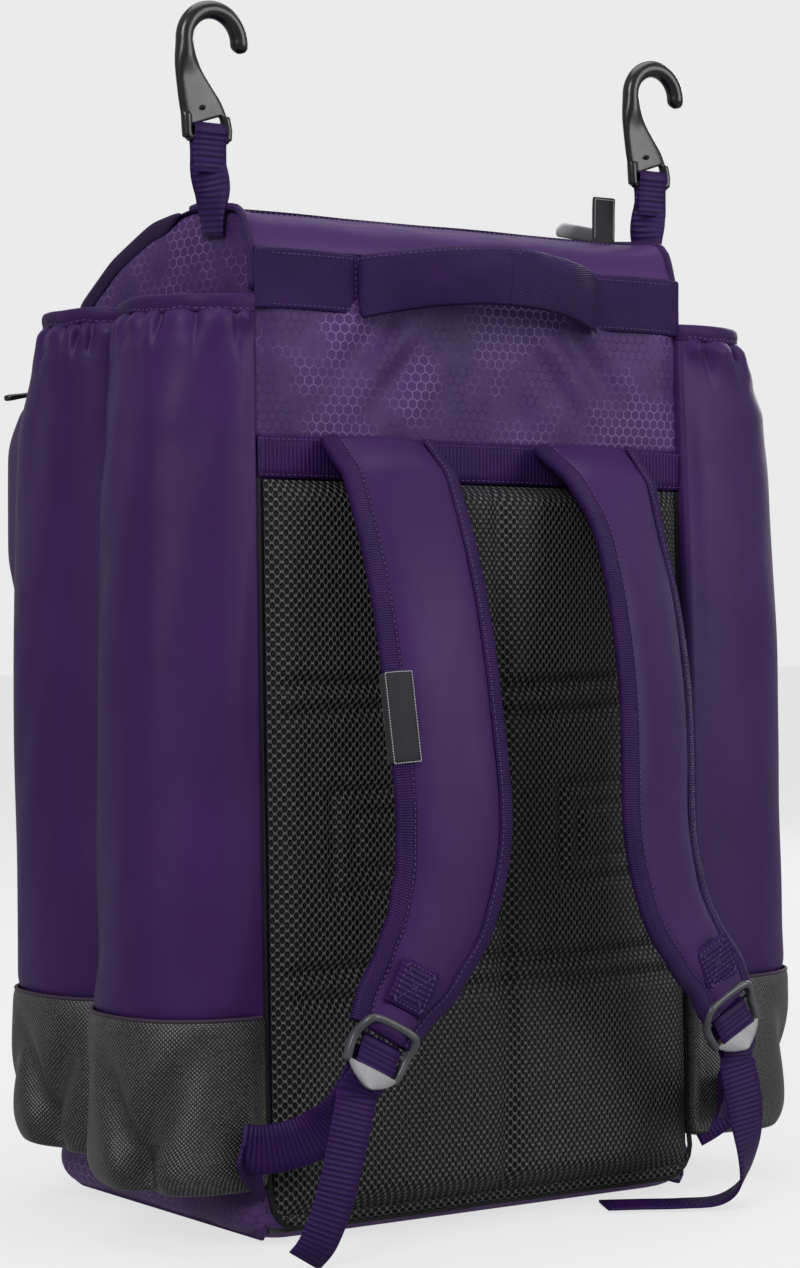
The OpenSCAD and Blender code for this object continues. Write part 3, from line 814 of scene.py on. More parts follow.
def make_boot(side, place, seed):
    """Stiff black cup at a sleeve's foot, with darts and a sagging rounded bottom."""
    rng = random.Random(seed)
    darts = [(rng.uniform(0.38, 0.44), rng.uniform(7.5, 9.5)),
             (rng.uniform(0.74, 0.8), rng.uniform(2, 4))]
    sag = -3 if place == "rear" else 9
    rows = []
    low = BOOT[place][0].z
    levels = [1, 0.985, 0.955, 0.92, 0.86, 0.78, 0.7, 0.6, 0.5, 0.4, 0.3, 0.22, 0.15, 0.09, 0.05, 0.02]
    for level in levels:
        z = low + (SEAM_Z + 0.6 - low) * level
        drop = 1 - level
        ring, normals = sleeve_arc(side, place, max(z, 32), 1.0)
        points = []
        for i, (p, n) in enumerate(zip(ring, normals)):
            share = i / (len(ring) - 1)
            edge = ease(min(share, 1 - share) / 0.07)
            push = 0.9 * ease(drop / 0.03) + 1.8 * arch(drop * 0.9) ** 0.8
            push += 3.2 * bumps(share * 5, drop * 1.4, 0, seed) * ease(drop / 0.2)
            for spot, deep in darts:
                for fan in (-0.24, 0.2):
                    away = share - spot - fan * (0.86 - drop)
                    push -= deep * bell(away, 0.05) * ease((drop - 0.08) / 0.5)
            q = p + n * push * edge
            if level < 0.16:
                q.x *= 1 - 0.10 * (1 - level / 0.16) ** 2
            slump = sag * ease(drop / 0.8) * (q.x / 80) * (0.6 + 0.4 * math.sin(math.pi * share))
            points.append(Vector((max(q.x, 0.1), q.y, z + slump)))
        rows.append(tucked(place_ring(side, points, z)))
    last = rows[-1]
    mid = sum(last, Vector()) / len(last)
    for inset, rise in ((0.94, -1.6), (0.8, -2.6), (0.45, -3), (0.05, -3)):
        rows.append([mid.lerp(p, inset) + Vector((0, 0, rise)) for p in last])
    name = f"boot_{side}_{place}"
    boot = grid(name, rows, BALLISTIC, "pack")
    face_outward(boot)
    subdivide(boot)
    thicken(boot, 1.2, -1 if outward_is_out(boot, side) else 1)
    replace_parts(boot, name)
    ring, normals = sleeve_arc(side, place, SEAM_Z, 0.6)
    seam = place_ring(side, [p + n * 0.4 for p, n in zip(ring, normals)][2:-2], SEAM_Z + 0.5)
    tube(f"boot_seam_{side}_{place}", seam, 1.0, SEAM_TAPE, "pack", 8)


# ---------------------------------------------------------------- bag body

def outline_yz(inset=0.0):
    """The bag's outline from the side, from the foot of the back over the lid to the toe."""
    corners = [(FOOT_Y, 0, 6), (-91, 512, 8), (-83, 538, 16), (-36, RIDGE_Z + 0.5, 14), (10, 537, 50),
               (52, 521, 40), (92, 497, 34), (117, 440, 40), (114, 0, 24)]
    radii = [r - inset for y, z, r in corners]
    path = rounded([Vector((0, y, z)) for y, z, r in corners], radii, inset)
    return evenly(path + path[:1], 2.5)[:-1]


def rounded(corners, radii, inset=0.0):
    """Closed path through rounded corners, moved inward."""
    count = len(corners)
    moved = []
    for i, b in enumerate(corners):
        u = (corners[i - 1] - b).normalized()
        v = (corners[(i + 1) % count] - b).normalized()
        half = math.acos(max(-1, min(1, u.dot(v)))) / 2
        moved.append(b + (u + v).normalized() * (inset / math.sin(half)))
    out = []
    for i, b in enumerate(moved):
        u = (moved[i - 1] - b).normalized()
        v = (moved[(i + 1) % count] - b).normalized()
        half = math.acos(max(-1, min(1, u.dot(v)))) / 2
        r = max(radii[i], 0.5)
        start, end = b + u * r / math.tan(half), b + v * r / math.tan(half)
        middle = b + (u + v).normalized() * r / math.sin(half)
        for k in range(9):
            spoke = (start - middle).lerp(end - middle, k / 8).normalized()
            out.append(middle + spoke * r)
    return out


def side_panel(side):
    """Hexagon-patterned side wall, puffed where it shows above the sleeves."""
    s = SIDES[side]
    outer = outline_yz(2.6)
    outer = evenly(outer + outer[:1], 7)[:-1]
    mid = Vector((0, 8, 250))
    rows = []
    for share in (1, 0.985, 0.96, 0.92, 0.86, 0.78, 0.66, 0.52, 0.36, 0.18, 0.03):
        row = []
        for p in outer:
            q = mid.lerp(p, share)
            q.z = lerp(500, p.z, share) if p.z > 440 else q.z
            puff = 3.6 * ease((q.z - 470) / 35) * (1 - share ** 6)
            puff += 0.7 * bumps(q.y * 0.03, q.z * 0.03, s, 6)
            row.append(Vector((s * (SIDE_X - 1.2 + (puff if share < 1 else 0)), q.y, q.z)))
        rows.append(row)
    name = f"side_panel_{side}"
    panel = grid(name, rows, RIPSTOP_SIDE, "pack", wrap=True, caps=(False, True))
    face_outward(panel)
    thicken(panel, 1.6, -1 if outward_is_out(panel, side) else 1)
    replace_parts(panel, name)


def top_strip():
    """Puffed strip between the back's top edge and the ridge zip."""
    path = [p for p in outline_yz(0.6) if p.z > 520 and p.y < RIDGE_Y - 13]
    path = evenly([back(0, -0.6, 515.4)] + path + [Vector((0, RIDGE_Y - 13, RIDGE_Z - 2.6))], 2.6)
    turns = directions(path)
    rows = []
    for k, (p, t) in enumerate(zip(path, turns)):
        along = k / (len(path) - 1)
        normal = Vector((0, -t.z, t.y))
        row = []
        for i in range(80):
            x = lerp(-SIDE_X - 0.6, SIDE_X + 0.6, i / 79)
            edge = ease((SIDE_X + 1 - abs(x)) / 22)
            sag = -3.5 * edge * arch(along) + 1.3 * bumps(x * 0.03, along * 2.2, 0, 8) * arch(along)
            row.append(Vector((x, p.y, p.z)) + normal * sag)
        rows.append(row)
    # The strip's lighter cloth is painted light from above.
    strip = grid("top_panel", rows, COATED_TOPLIT, "pack")
    face_outward(strip)
    finish_sheet(strip, "top_panel", 1.4)
    for side, s in SIDES.items():
        path = outline_yz(0.6)
        line = [back(0, -1.0, z) for z in (494, 504)]
        line += [p for p in path if p.z > 510 and p.y < RIDGE_Y + 3]
        line = [Vector((s * (SIDE_X + 0.4), p.y, p.z)) for p in line]
        tube(f"corner_piping_{side}", evenly(line, 5), 2.1, PIPING, "pack")
    seam = [back(x, -0.8, 516.2) for x in range(-140, 141, 10)]
    tube("top_seam", seam, 1.0, PIPING, "pack", 8)
    line = [Vector((x, RIDGE_Y - 15, RIDGE_Z - 1.9)) for x in range(-136, 137, 8)]
    stitches("top_strip_stitches", [line], "pack", THREAD_DIM, pitch=3.4)


def ridge_zip():
    """Zip along the ridge: tapes on the bag and on the lid, with the coil between them."""
    path = [p for p in outline_yz(0.0) if RIDGE_Y - 16 < p.y < RIDGE_Y + 16 and p.z > 500]
    path = evenly(path, 1.6)
    for node, part in (("main_zip_rear", [p for p in path if p.y < RIDGE_Y + 0.1]),
                       ("main_zip_front", [p for p in path if p.y > RIDGE_Y - 0.3])):
        body = "pack" if node.endswith("rear") else "lid"
        rows = [[Vector((x, p.y, p.z + 0.3 * math.sin(x * 0.05))) for p in part]
                for x in np.linspace(-SIDE_X, SIDE_X, 60)]
        tape = grid(node, rows, ZIP_TAPE, body)
        face_outward(tape)
        finish_sheet(tape, node, 1.0, rounded_off=False)
    coil = [Vector((x, RIDGE_Y, RIDGE_Z + 0.1)) for x in np.linspace(-SIDE_X + 2, SIDE_X - 2, 60)]
    tube("main_zip_coil", coil, 1.3, ZIP_COIL, "pack", 8)


def make_lid():
    """Lid skin from the ridge over the front edge, with soft dents."""
    path = [p for p in outline_yz(0.4) if p.y > RIDGE_Y + 14 and p.z > HINGE_Z + 1]
    path = evenly(path + [Vector((0, 111.4, HINGE_Z + 0.6))], 6)
    turns = directions(path)
    rows = []
    for k, (p, t) in enumerate(zip(path, turns)):
        normal = Vector((0, -t.z, t.y))
        ends = arch(k / (len(path) - 1))
        row = []
        for i in range(73):
            x = lerp(-SIDE_X - 0.4, SIDE_X + 0.4, i / 72)
            edge = ease((SIDE_X - abs(x)) / 30)
            puff = ends ** 0.5 * (1.5 + 2.2 * edge + 1.8 * bumps(x * 0.014, k * 0.09, 0, 21) * edge)
            row.append(Vector((x, p.y, p.z)) + normal * puff)
        rows.append(row)
    lid = grid("lid", rows, COATED, "lid")
    face_outward(lid)
    finish_sheet(lid, "lid", 1.6)
    for side, s in SIDES.items():
        section = []
        for k, (p, t) in enumerate(zip(path, turns)):
            normal = Vector((0, -t.z, t.y))
            if p.z < RIM_HIGH + 5:
                continue
            wide = 8.5 * ease((k + 1) / 4)
            base = Vector((s * (SIDE_X + 0.2), p.y, p.z))
            base += normal * 1.5 * arch(k / (len(path) - 1)) ** 0.5
            hem = 1.5 + 0.4 * bumps(k * 0.4, s, 0, 3)
            edge = ((0.9, -2.5), (1.5, 0), (0.6, 1.7), (-1.5, 2.2), (-0.6 * wide, 2.0), (-wide, hem),
                    (-wide - 0.5, 0.6), (0.6 - wide, 0.2), (-1.6, 0.2), (-1.2, -2.5))
            section.append([base + normal * up + X_AXIS * s * out for up, out in edge])
        # The lip's darker cloth is painted shade.
        solid(f"lid_lip_{side}", section, LIP_SHADED, "lid")


def front_panel():
    """Front wall behind the pockets, from the lid's hinge down to the tray."""
    path = [p for p in outline_yz(0.4) if p.y > 60 and 31 < p.z < HINGE_Z - 1.5]
    path = evenly([Vector((0, 112.4, HINGE_Z - 1.6))] + path + [Vector((0, 114, 31))], 9)
    turns = directions(path)
    rows = []
    for k, (p, t) in enumerate(zip(path, turns)):
        ends = arch(k / (len(path) - 1)) ** 0.4
        normal = Vector((0, -t.z, t.y))
        row = []
        for x in np.linspace(-SIDE_X, SIDE_X, 60):
            puff = ends * (1.5 + 1.6 * bumps(x * 0.012, k * 0.15, 0, 31))
            puff *= ease((SIDE_X + 1 - abs(x)) / 20)
            row.append(Vector((x, p.y, p.z)) + normal * puff)
        rows.append(row)
    panel = grid("front_panel", rows, COATED, "pack")
    face_outward(panel)
    finish_sheet(panel, "front_panel", 1.6, rounded_off=False)
    seam = [Vector((x, 113.2, HINGE_Z - 0.4)) for x in np.linspace(-SIDE_X, SIDE_X, 30)]
    tube("hinge_seam", seam, 1.3, PIPING, "pack", 8)


def make_tray():
    """Soft bottom of the bag, rounded underneath."""
    x1, y0, y1, top = TRAY[1].x, TRAY[0].y, TRAY[1].y, TRAY[1].z
    mid = (y0 + y1) / 2
    ring = rounded([Vector((x, y, 0)) for x, y in ((-x1, y0), (x1, y0), (x1, y1), (-x1, y1))],
                   [9, 9, 14, 14])
    ring = evenly(ring + ring[:1], 6)[:-1]
    rows = []
    for z, inset in ((top + 1, 0.8), (top - 1, 0), (top - 5, -1), (20, -1.4), (14, -0.6), (9, 1.4),
                     (5, 4.4), (2, 9), (0.5, 15), (0.02, 24), (0.02, 60), (0.02, 95)):
        row = []
        for p in ring:
            q = Vector((max(abs(p.x) - inset, 0) * math.copysign(1, p.x), 0, 0))
            q.y = mid + max(abs(p.y - mid) - inset, 0) * math.copysign(1, p.y - mid)
            q.z = z + (1.4 * bumps(p.x * 0.02, p.y * 0.02, z * 0.05, 12) if z > 4 else 0)
            if abs(p.x) > 0.9 * x1:
                swell = 1.6 * bumps(p.y * 0.03, z * 0.06, 1, 13) * ease(z / 6)
                swell += 5.5 * bell(z - 13, 11) * ease((mid + 106 - abs(p.y - mid)) / 14 - 0.2)
                q.x += math.copysign(swell, p.x)
            row.append(q)
        rows.append(row)
    # The tray's lighter ripstop is painted light.
    tray = grid("bottom_panel", rows, RIPSTOP_TRAY_LIT, "pack", wrap=True,
                caps=(False, True))
    face_outward(tray)
    subdivide(tray)
    thicken(tray, 1.6, -1)
    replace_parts(tray, "bottom_panel")


def pocket(name, profile, x1, seed, puff):
    """Puffed box pocket from its side outline, listed as (y, z) from the bag round to the bag."""
    outline = rounded([Vector((0, y, z)) for y, z, r in profile], [r for y, z, r in profile])
    outline = evenly(outline, 6)
    keep = [p for p in outline if p.y > profile[0][0] + 0.5]
    mid_z = (profile[0][1] + profile[-1][1]) / 2
    cross = [-1 + 2 * i / 64 for i in range(65)]
    rows = []
    for k, p in enumerate(keep):
        t = k / (len(keep) - 1)
        ends = arch(t) ** 0.5
        row = []
        for c in cross:
            a = abs(c)
            side = max(0, (a - 0.86) / 0.14)
            back_off = 1 - (1 - side ** 2.4) ** 0.45 if side < 1 else 1
            y = lerp(p.y, profile[0][0], back_off)
            z = lerp(p.z, lerp(p.z, mid_z, 0.06), side ** 3)
            bulge = puff * ends * (1 - a ** 4)
            bulge += 1.7 * bumps(c * 3.1, t * 3.4, 0, seed) * ends * (1 - a ** 6)
            row.append(Vector((c * x1, y + bulge, z)))
        rows.append(row)
    shell = grid(name, rows, COATED, "pack")
    face_outward(shell)
    face_along_y(shell, 1)
    finish_sheet(shell, name, 1.6)
    for row, tag in ((rows[0], "low"), (rows[-1], "high")):
        tube(f"{name}_piping_{tag}", row, 1.6, PIPING, "pack", 8)


def zip_strip(name, low, high, normal, teeth_name):
    """Zip tape between two corners with its coil along the middle, on a face with that normal."""
    middle = (low + high) / 2
    size = high - low
    across = Y_AXIS if abs(normal.z) > 0.5 else Z_AXIS
    wide = abs(size.dot(across))
    path = [Vector((x, middle.y, middle.z)) for x in np.linspace(low.x, high.x, 50)]
    tape = ribbon(name, path, across, wide, 1.0, ZIP_TAPE, "pack")
    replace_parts(tape, name)
    tooth = 1.3
    coil = [Vector((low.x + k * tooth, middle.y, middle.z)) + normal + across * (0.9 if k % 2 else -0.9)
            for k in range(int((high.x - low.x) / tooth))]
    tube(teeth_name, coil, 0.55, ZIP_COIL, "pack", 6)


# ---------------------------------------------------------------- padded back

PAD_X, PAD_TOP, PAD_LOW = 138.6, 396.0, 14.0


def pad_depth(x, z):
    """How far the mesh back stands off the back panel."""
    crown = 7 + 15 * (1 - (abs(x) / PAD_X) ** 2.2)
    crown += 1.2 * bumps(x * 0.02, z * 0.016, 0, 5)
    groove = 4.8 * bell(x, 5.5) * (0.75 + 0.25 * math.sin(z * 0.05))
    fade = ease((PAD_X - abs(x)) / 16)
    for line, deep in ((288, 4.2), (274, 3.6), (141, 4.2), (127, 3.6)):
        line += 1.6 * math.sin(x * 0.03 + line)
        groove += deep * bell(z - line, 3.6)
    quilt = quilting(x, z)
    pillow = 1.6 * arch(abs(x) / PAD_X) ** 0.5
    edge = min(ease((PAD_X - abs(x)) / 13) ** 0.6, ease((PAD_TOP + 1 - z) / 12) ** 0.6,
               ease((z - PAD_LOW + 1) / 16) ** 0.6)
    return 2.4 + (crown - 2.4 + pillow - min(groove, 7) * fade - quilt) * edge


def quilting(x, z):
    """Plain quilted rounded rectangles, one each side."""
    dx, dz = abs(abs(x) - 72), abs(z - 207)
    outer = max(dx - 34, dz - 26)
    inner = max(dx - 22, dz - 14)
    return 2.8 * bell(outer, 2.6) + 2.2 * bell(inner, 2.4)


def back_pad():
    xs = np.linspace(-PAD_X, PAD_X, 111)
    zs = np.linspace(PAD_LOW, PAD_TOP, 155)
    rows = [[back(x, -pad_depth(x, z) - 0.4, z) for x in xs] for z in zs]
    pad = grid("back_mesh", rows, MESH, "pack", uv=lambda j, i: (xs[i], zs[j]))
    face_outward(pad)
    face_along_y(pad, -1)
    finish_sheet(pad, "back_mesh", 1.6)
    xs = np.linspace(-PAD_X + 3, PAD_X - 3, 56)
    zs = np.linspace(PAD_LOW + 3, PAD_TOP - 3, 70)
    rows = [[back(x, -max(pad_depth(x, z) - 3.4, 1.6), z) for x in xs] for z in zs]
    foam = grid("back_foam", rows, FOAM, "pack", uv=lambda j, i: (xs[i], zs[j]))
    face_along_y(foam, -1)
    finish_sheet(foam, "back_foam", 1.2, rounded_off=False)


def back_trim():
    """Black piping round the padded back, and the hem of mesh that runs under it at the foot."""
    bend, x1, z0 = 18, 140.8, 8.5
    path = [back(-x1, -1.6, z) for z in range(398, 30, -20)]
    for k in range(9):
        a = math.pi / 2 * k / 8
        path.append(back(-x1 + bend - bend * math.cos(a), -3.4, z0 + bend - bend * math.sin(a)))
    path += [back(x, -3.4, z0) for x in range(-110, 111, 20)]
    for k in range(9):
        a = math.pi / 2 * k / 8
        path.append(back(x1 - bend + bend * math.sin(a), -3.4, z0 + bend - bend * math.cos(a)))
    path += [back(x1, -1.6, z) for z in range(38, 399, 20)]
    piping = tube("edge_piping", evenly(path, 6), 1.5, PIPING_BLACK, "pack")
    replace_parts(piping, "edge_piping")
    skirt = []
    for x in np.linspace(-x1 + 1, x1 - 1, 60):
        corner = max(0, abs(x) - x1 + bend)
        z = z0 + bend - math.sqrt(max(0, bend * bend - corner * corner))
        skirt.append([back(x, -2.2, PAD_LOW + 6), back(x, -4.4, max(PAD_LOW, z + 3)),
                      back(x, -4.4, z + 1)])
    hem = grid("pad_hem", skirt, MESH, "pack")
    thicken(hem, 0.8, 0)


def yoke():
    """Ripstop panel behind the handle, and the ribbed band that the shoulder straps start from."""
    wide, low, high = SIDE_X + 0.4, 417.6, 515.6
    xs = np.linspace(-wide, wide, 100)
    zs = np.linspace(low, high, 40)

    def out(x, z):
        up = (z - low) / (high - low)
        bow = 3.2 * arch(up) ** 0.8 * ease((SIDE_X - abs(x)) / 14)
        pull = 0.0
        for s in (-1, 1):
            d = (x * s - 70) + (z - 484) * 0.9
            pull += 2.2 * math.sin(d * 0.16) * bell(z - 466, 28) * bell(x * s - 62, 34)
        return 1.2 + bow + pull + 1.5 * bumps(x * 0.028, z * 0.03, 0, 14) * math.sin(math.pi * up)

    rows = [[back(x, -out(x, z), z) for x in xs] for z in zs]
    panel = grid("yoke_panel", rows, RIPSTOP, "pack", uv=lambda j, i: (xs[i], zs[j]))
    face_along_y(panel, -1)
    finish_sheet(panel, "yoke_panel", 1.2)
    seam = [back(x, -2.4, 418.2) for x in range(-140, 141, 8)]
    tube("yoke_seam", seam, 0.9, PIPING, "pack", 8)
    path = [back(x, -2.9 - 0.9 * math.sin((x + 136) * 0.055) ** 2 - 0.5 * bell(x, 24), 407.3)
            for x in np.linspace(-SIDE_X, SIDE_X, 70)]
    band = ribbon("strap_band", path, Z_AXIS, 21.6, 1.6, GROSGRAIN_BAND, "pack")
    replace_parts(band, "strap_band")
    lines = [[p + Vector((0, -1.1, dz)) for p in path] for dz in (-9.2, 9.2)]
    stitches("band_stitches", lines, "pack", pitch=3.4, radius=0.24)


# ---------------------------------------------------------------- handle

ANCHOR_X, ANCHOR_Z = 80, 484


def handle_anchors():
    """Sewn webbing patches that the ends of the grab handle run into."""
    for side, s in SIDES.items():
        rows = []
        for x in np.linspace(ANCHOR_X - 2, SIDE_X + 1, 28):
            up = (x - ANCHOR_X) / (PAD_X - ANCHOR_X)
            row = []
            for z in np.linspace(ANCHOR_Z, 515.5, 14):
                bow = 1.5 * math.sin(math.pi * max(0, min(1, up)))
                bow += 0.8 * bumps(x * 0.06, z * 0.08, s, 15)
                lift = 1.2 * math.sin(up * 2.6) * (1 if z > 500 else 0.4)
                row.append(back(s * x, -4.6 - bow, z + lift))
            rows.append(row)
        patch = grid(f"handle_anchor_{side}", rows, TWILL, "pack")
        face_along_y(patch, -1)
        finish_sheet(patch, f"handle_anchor_{side}", 2.0)
        lines = [[back(s * x, -6.0 - 1.4 * math.sin(math.pi * (x - ANCHOR_X) / 57), z)
                  for x in range(82, 136, 4)] for z in (ANCHOR_Z + 2.4, 513)]
        lines.append([back(s * (ANCHOR_X + 0.5), -5.6, z) for z in range(486, 515, 4)])
        stitches(f"anchor_stitches_{side}", lines, "pack", pitch=3.0, radius=0.22)


def handle_shape(x):
    """(outward, low, high) of the grab handle at x."""
    a = min(1.0, abs(x) / ANCHOR_X)
    out = 6.2 + 24 * (1 - a * a) ** 0.8
    low = 486 + 9 * (1 - a ** 2)
    high = 514.5 + 7.5 * (1 - a ** 1.6)
    return out, low, high


def grab_handle():
    """Two halves that meet in the middle, where a short lap covers the join."""
    rows = []
    for x in (ANCHOR_X * (1 - k / 40) for k in range(81)):
        out, low, high = handle_shape(x)
        a = abs(x) / ANCHOR_X
        roll = 2.6 * (1 - a ** 3)
        tall = high - low
        row = []
        for u, v in ((0, 0), (.5, -.25), (1, 0), (1.25, .18), (1.3, .35), (1.2, .55), (1.1, .75),
                     (1, .92), (.55, 1.04), (0, 1), (-.55, .92), (-.8, .7), (-.9, .45), (-.8, .2)):
            thick = 1.5 + roll * (0.6 + 0.4 * math.sin(v * math.pi))
            slack = 1.2 * bumps(x * 0.05, v * 2, 0, 41)
            row.append(back(x, -(out + u * thick) - slack, low + v * tall))
        rows.append(row)
    lap = [[row[0].lerp(row[7], 0.5).lerp(p, 0.9) for p in row] for row in rows[36:40]]
    for side, part in (("right", rows[:41]), ("left", lap + rows[40:])):
        half = grid(f"grab_handle_{side}", part, TWILL, None, wrap=True, caps=(True, True))
        face_outward(half)
        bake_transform(half)
        subdivide(half)
        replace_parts(half, "grab_handle")
        line = []
        for row in part:
            p = (row[4] + row[5]) / 2
            line.append(Vector((p.x, p.y - 0.1, row[8].z - 2.6)))
        seam = stitches(f"handle_stitches_{side}", [line], None, pitch=3.2, radius=0.22)
        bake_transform(seam)


# ---------------------------------------------------------------- shoulder straps

STRAP_LINE = curve([(69.5, 0, 417.5), (70, 0, 350), (69, 0, 280), (66.5, 0, 215), (74, 0, 175),
                    (89, 0, 147), (104.5, 0, 128), (114, 0, 112)], 14)
STRAP_SIDE = curve([(0, -6.5, 417.5), (0, -21, 404), (0, -29, 396), (0, -48, 350), (0, -60, 300),
                    (0, -65.5, 250), (0, -67, 206), (0, -67, 90)], 10)
HALF_W = [(100, 17.0), (112, 21.5), (128, 25), (147, 29.5), (175, 34), (215, 36.5), (420, 36.5)]
ROLL = {"left": 0.0, "right": math.radians(21)}
# Section of the ribbed binding: (inward from the strap's edge, outward from its middle).
BINDING = ((10.8, 3.1), (9.8, 4.4), (6, 4.6), (2.4, 3.8), (0.5, 1.9), (0, 0), (0.5, -1.9), (2.4, -3.6),
           (6, -4.4), (9.8, -4.3), (10.6, -3.2), (6, -2.9), (3, -1.9), (1.6, 0), (3, 2.0), (6, 2.9))


def strap_depth(z):
    """Local y of the strap's middle at height z, and its outward normal."""
    for a, b in zip(STRAP_SIDE, STRAP_SIDE[1:]):
        if z >= b.z or b is STRAP_SIDE[-1]:
            t = (z - a.z) / (b.z - a.z)
            d = (b - a).normalized()
            return lerp(a.y, b.y, t), Vector((0, d.z, -d.y)) if d.z < 0 else Vector((0, -d.z, d.y))


def strap_point(k, across, out, side):
    """Point of a strap: k along its middle line, so far across and outward, with the strap's roll."""
    p = STRAP_LINE[k]
    last = len(STRAP_LINE) - 1
    t = (STRAP_LINE[min(k + 1, last)] - STRAP_LINE[max(k - 1, 0)]).normalized()
    roll = ROLL[side] * ease(k / 12) * (1 - 0.7 * ease((k / last - 0.72) / 0.28))
    flat = across * math.cos(roll) + out * math.sin(roll)
    lift = out * math.cos(roll) - across * math.sin(roll)
    x, z = p.x - t.z * flat + 8 * roll, p.z + t.x * flat
    y, n = strap_depth(z)
    spot = back(x, y + n.y * lift, z + n.z * lift)
    spot.x *= SIDES[side]
    return spot


def shoulder_strap(side):
    body = f"strap_{side}"
    s = SIDES[side]
    last = len(STRAP_LINE) - 1
    pad_rows, inner_rows, outer_rows = [], [], []
    seams = ([], [])
    for k in range(last + 1):
        p = STRAP_LINE[k]
        w = table(p.z, HALF_W)
        ends = ease(k / 5) * ease((last - k) / 4)
        wa = w - 7.5
        row = []
        ripple = 0.5 * bumps(k * 0.11, s, 0, 51)
        for i in range(15):
            c = -1 + 2 * i / 14
            crown = 2.2 + (4.6 * (1 - abs(c) ** 3.2) ** 0.8 + ripple) * (0.35 + 0.65 * ends)
            row.append(strap_point(k, c * wa, crown, side))
        for i in range(9):
            c = 1 - 2 * i / 8
            row.append(strap_point(k, c * wa, -3.0 - 1.6 * (1 - c * c) * ends, side))
        pad_rows.append(row)
        for sign, rows, seam in ((-1, inner_rows, seams[0]), (1, outer_rows, seams[1])):
            rows.append([strap_point(k, sign * (w - a), o, side) for a, o in BINDING])
            seam.append(strap_point(k, sign * (w - 8.6), 4.9, side))
    pad = solid(f"strap_pad_{side}", pad_rows, COATED, body)
    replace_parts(pad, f"strap_pad_{side}")
    for tag, rows in (("inner", inner_rows), ("outer", outer_rows)):
        edge_run = [0.0]
        for a, b in zip(rows, rows[1:]):
            edge_run.append(edge_run[-1] + (b[5] - a[5]).length)
        band = solid(f"strap_binding_{tag}_{side}", rows, GROSGRAIN, body,
                     uv=lambda j, i, r=edge_run: (r[j], i * 1.5))
        if tag == "inner":
            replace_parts(band, f"strap_binding_{side}")
    stitches(f"strap_stitches_{side}", seams, body, pitch=3.1, length=2.0, radius=0.27)


LOCK = Vector((117, -167, 105))
LOCK_TILT = math.radians(27)
LOCK_MID, LOCK_LOW = 4, -8
WEB_WIDE, WEB_THICK = 25, 1.5


def lock_point(side, x, y, z):
    """Point of a ladder lock's own frame: x along its bars, z up the strap, -y outward."""
    c, sn = math.cos(LOCK_TILT), math.sin(LOCK_TILT)
    return Vector((SIDES[side] * (LOCK.x + x * c - z * sn), LOCK.y + y, LOCK.z + x * sn + z * c))


def lock_across(side):
    return Vector((math.cos(LOCK_TILT) * SIDES[side], 0, math.sin(LOCK_TILT)))


def ladder_lock(side):
    """Curved rails and three bars melted into one moulding, and a thumb tab of its own."""
    body = f"lock_{side}"
    half = [(15.8, -9.5), (17.2, -3), (17.4, 4), (16.8, 10.4), (14.4, 14.6), (9, 15.8)]
    corners = [(-x, z) for x, z in half] + [(0, 16.1)] + half[::-1]
    ring = [lock_point(side, x, -1.6 - 5.4 * ease((z - 3) / 12), z) for x, z in corners]
    ring = evenly(curve(ring, 6), 1.5)
    rows = []
    for p, t in zip(ring, directions(ring)):
        side_way = t.cross(Y_AXIS).normalized()
        rows.append([p + side_way * (2.0 * cx) - Y_AXIS * (2.5 * cy)
                     for cx, cy in ((-1, -.6), (-.6, -1), (.6, -1), (1, -.6),
                                    (1, .6), (.6, 1), (-.6, 1), (-1, .6))])
    parts = [grid("ring", rows, BUCKLE_PLASTIC, None, wrap=True, caps=(True, True))]
    for z, r in ((LOCK_MID, 1.8), (LOCK_LOW, 1.9)):
        path = [lock_point(side, x, 0, z) for x in range(-16, 17, 4)]
        parts.append(tube("bar", path, r, BUCKLE_PLASTIC, None, 12))
    frame_piece = join(f"ladder_lock_{side}", parts)
    moulded(frame_piece, 0.62, 3)
    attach(frame_piece, body)
    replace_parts(frame_piece, f"ladder_lock_{side}")
    rows = []
    for t in np.linspace(0, 1, 12):
        z = lerp(-7.5, -18, t)
        wide = max(16.8 * (1 - t ** 1.5) ** 0.72, 1.5)
        y = -3.0 - 2.2 * t
        rows.append([lock_point(side, wide * c, y - 0.8 * (1 - c * c) + 1.5 * o, z)
                     for c, o in ((-1, 0), (-.94, -.8), (-.6, -1), (0, -1), (.6, -1), (.94, -.8), (1, 0),
                                  (.94, .8), (.6, 1), (0, 1), (-.6, 1), (-.94, .8))])
    # The tab's light grey is a painted highlight.
    solid(f"lock_tab_{side}", rows, TAB_PLASTIC_HIGHLIT, body, 2)


def strap_tab(side):
    """Webbing loop that holds the lock, sewn on to the strap's end with a crossed box."""
    body = f"strap_{side}"
    front = -9.6
    path = [lock_point(side, 0, y, z) for y, z in
            ((front + 0.6, 49), (front - 0.2, 44), (front, 32), (front + 1.0, 27), (front + 5.4, 22.6),
             (-0.2, 20.4), (2.6, 17.8), (3.4, 13.4), (5.4, 13.6), (5.2, 18.5), (1.8, 23.5), (-3.6, 31))]
    path = evenly(curve(path, 8), 1.6)
    tab = ribbon(f"strap_tab_{side}", path, lock_across(side), WEB_WIDE, WEB_THICK, WEBBING, body)
    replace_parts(tab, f"strap_tab_{side}")
    corners = [(-9.4, 47), (9.4, 47), (9.4, 27), (-9.4, 27)]
    y = front - 1.1
    box = [lock_point(side, x, y, z) for x, z in corners]
    lines = [[a, b] for a, b in zip(box, box[1:] + box[:1])] + [box[0::2], box[1::2]]
    lines = [evenly(line, 2) for line in lines]
    stitches(f"tab_stitches_{side}", lines, body, pitch=2.7, length=2.0, radius=0.3)


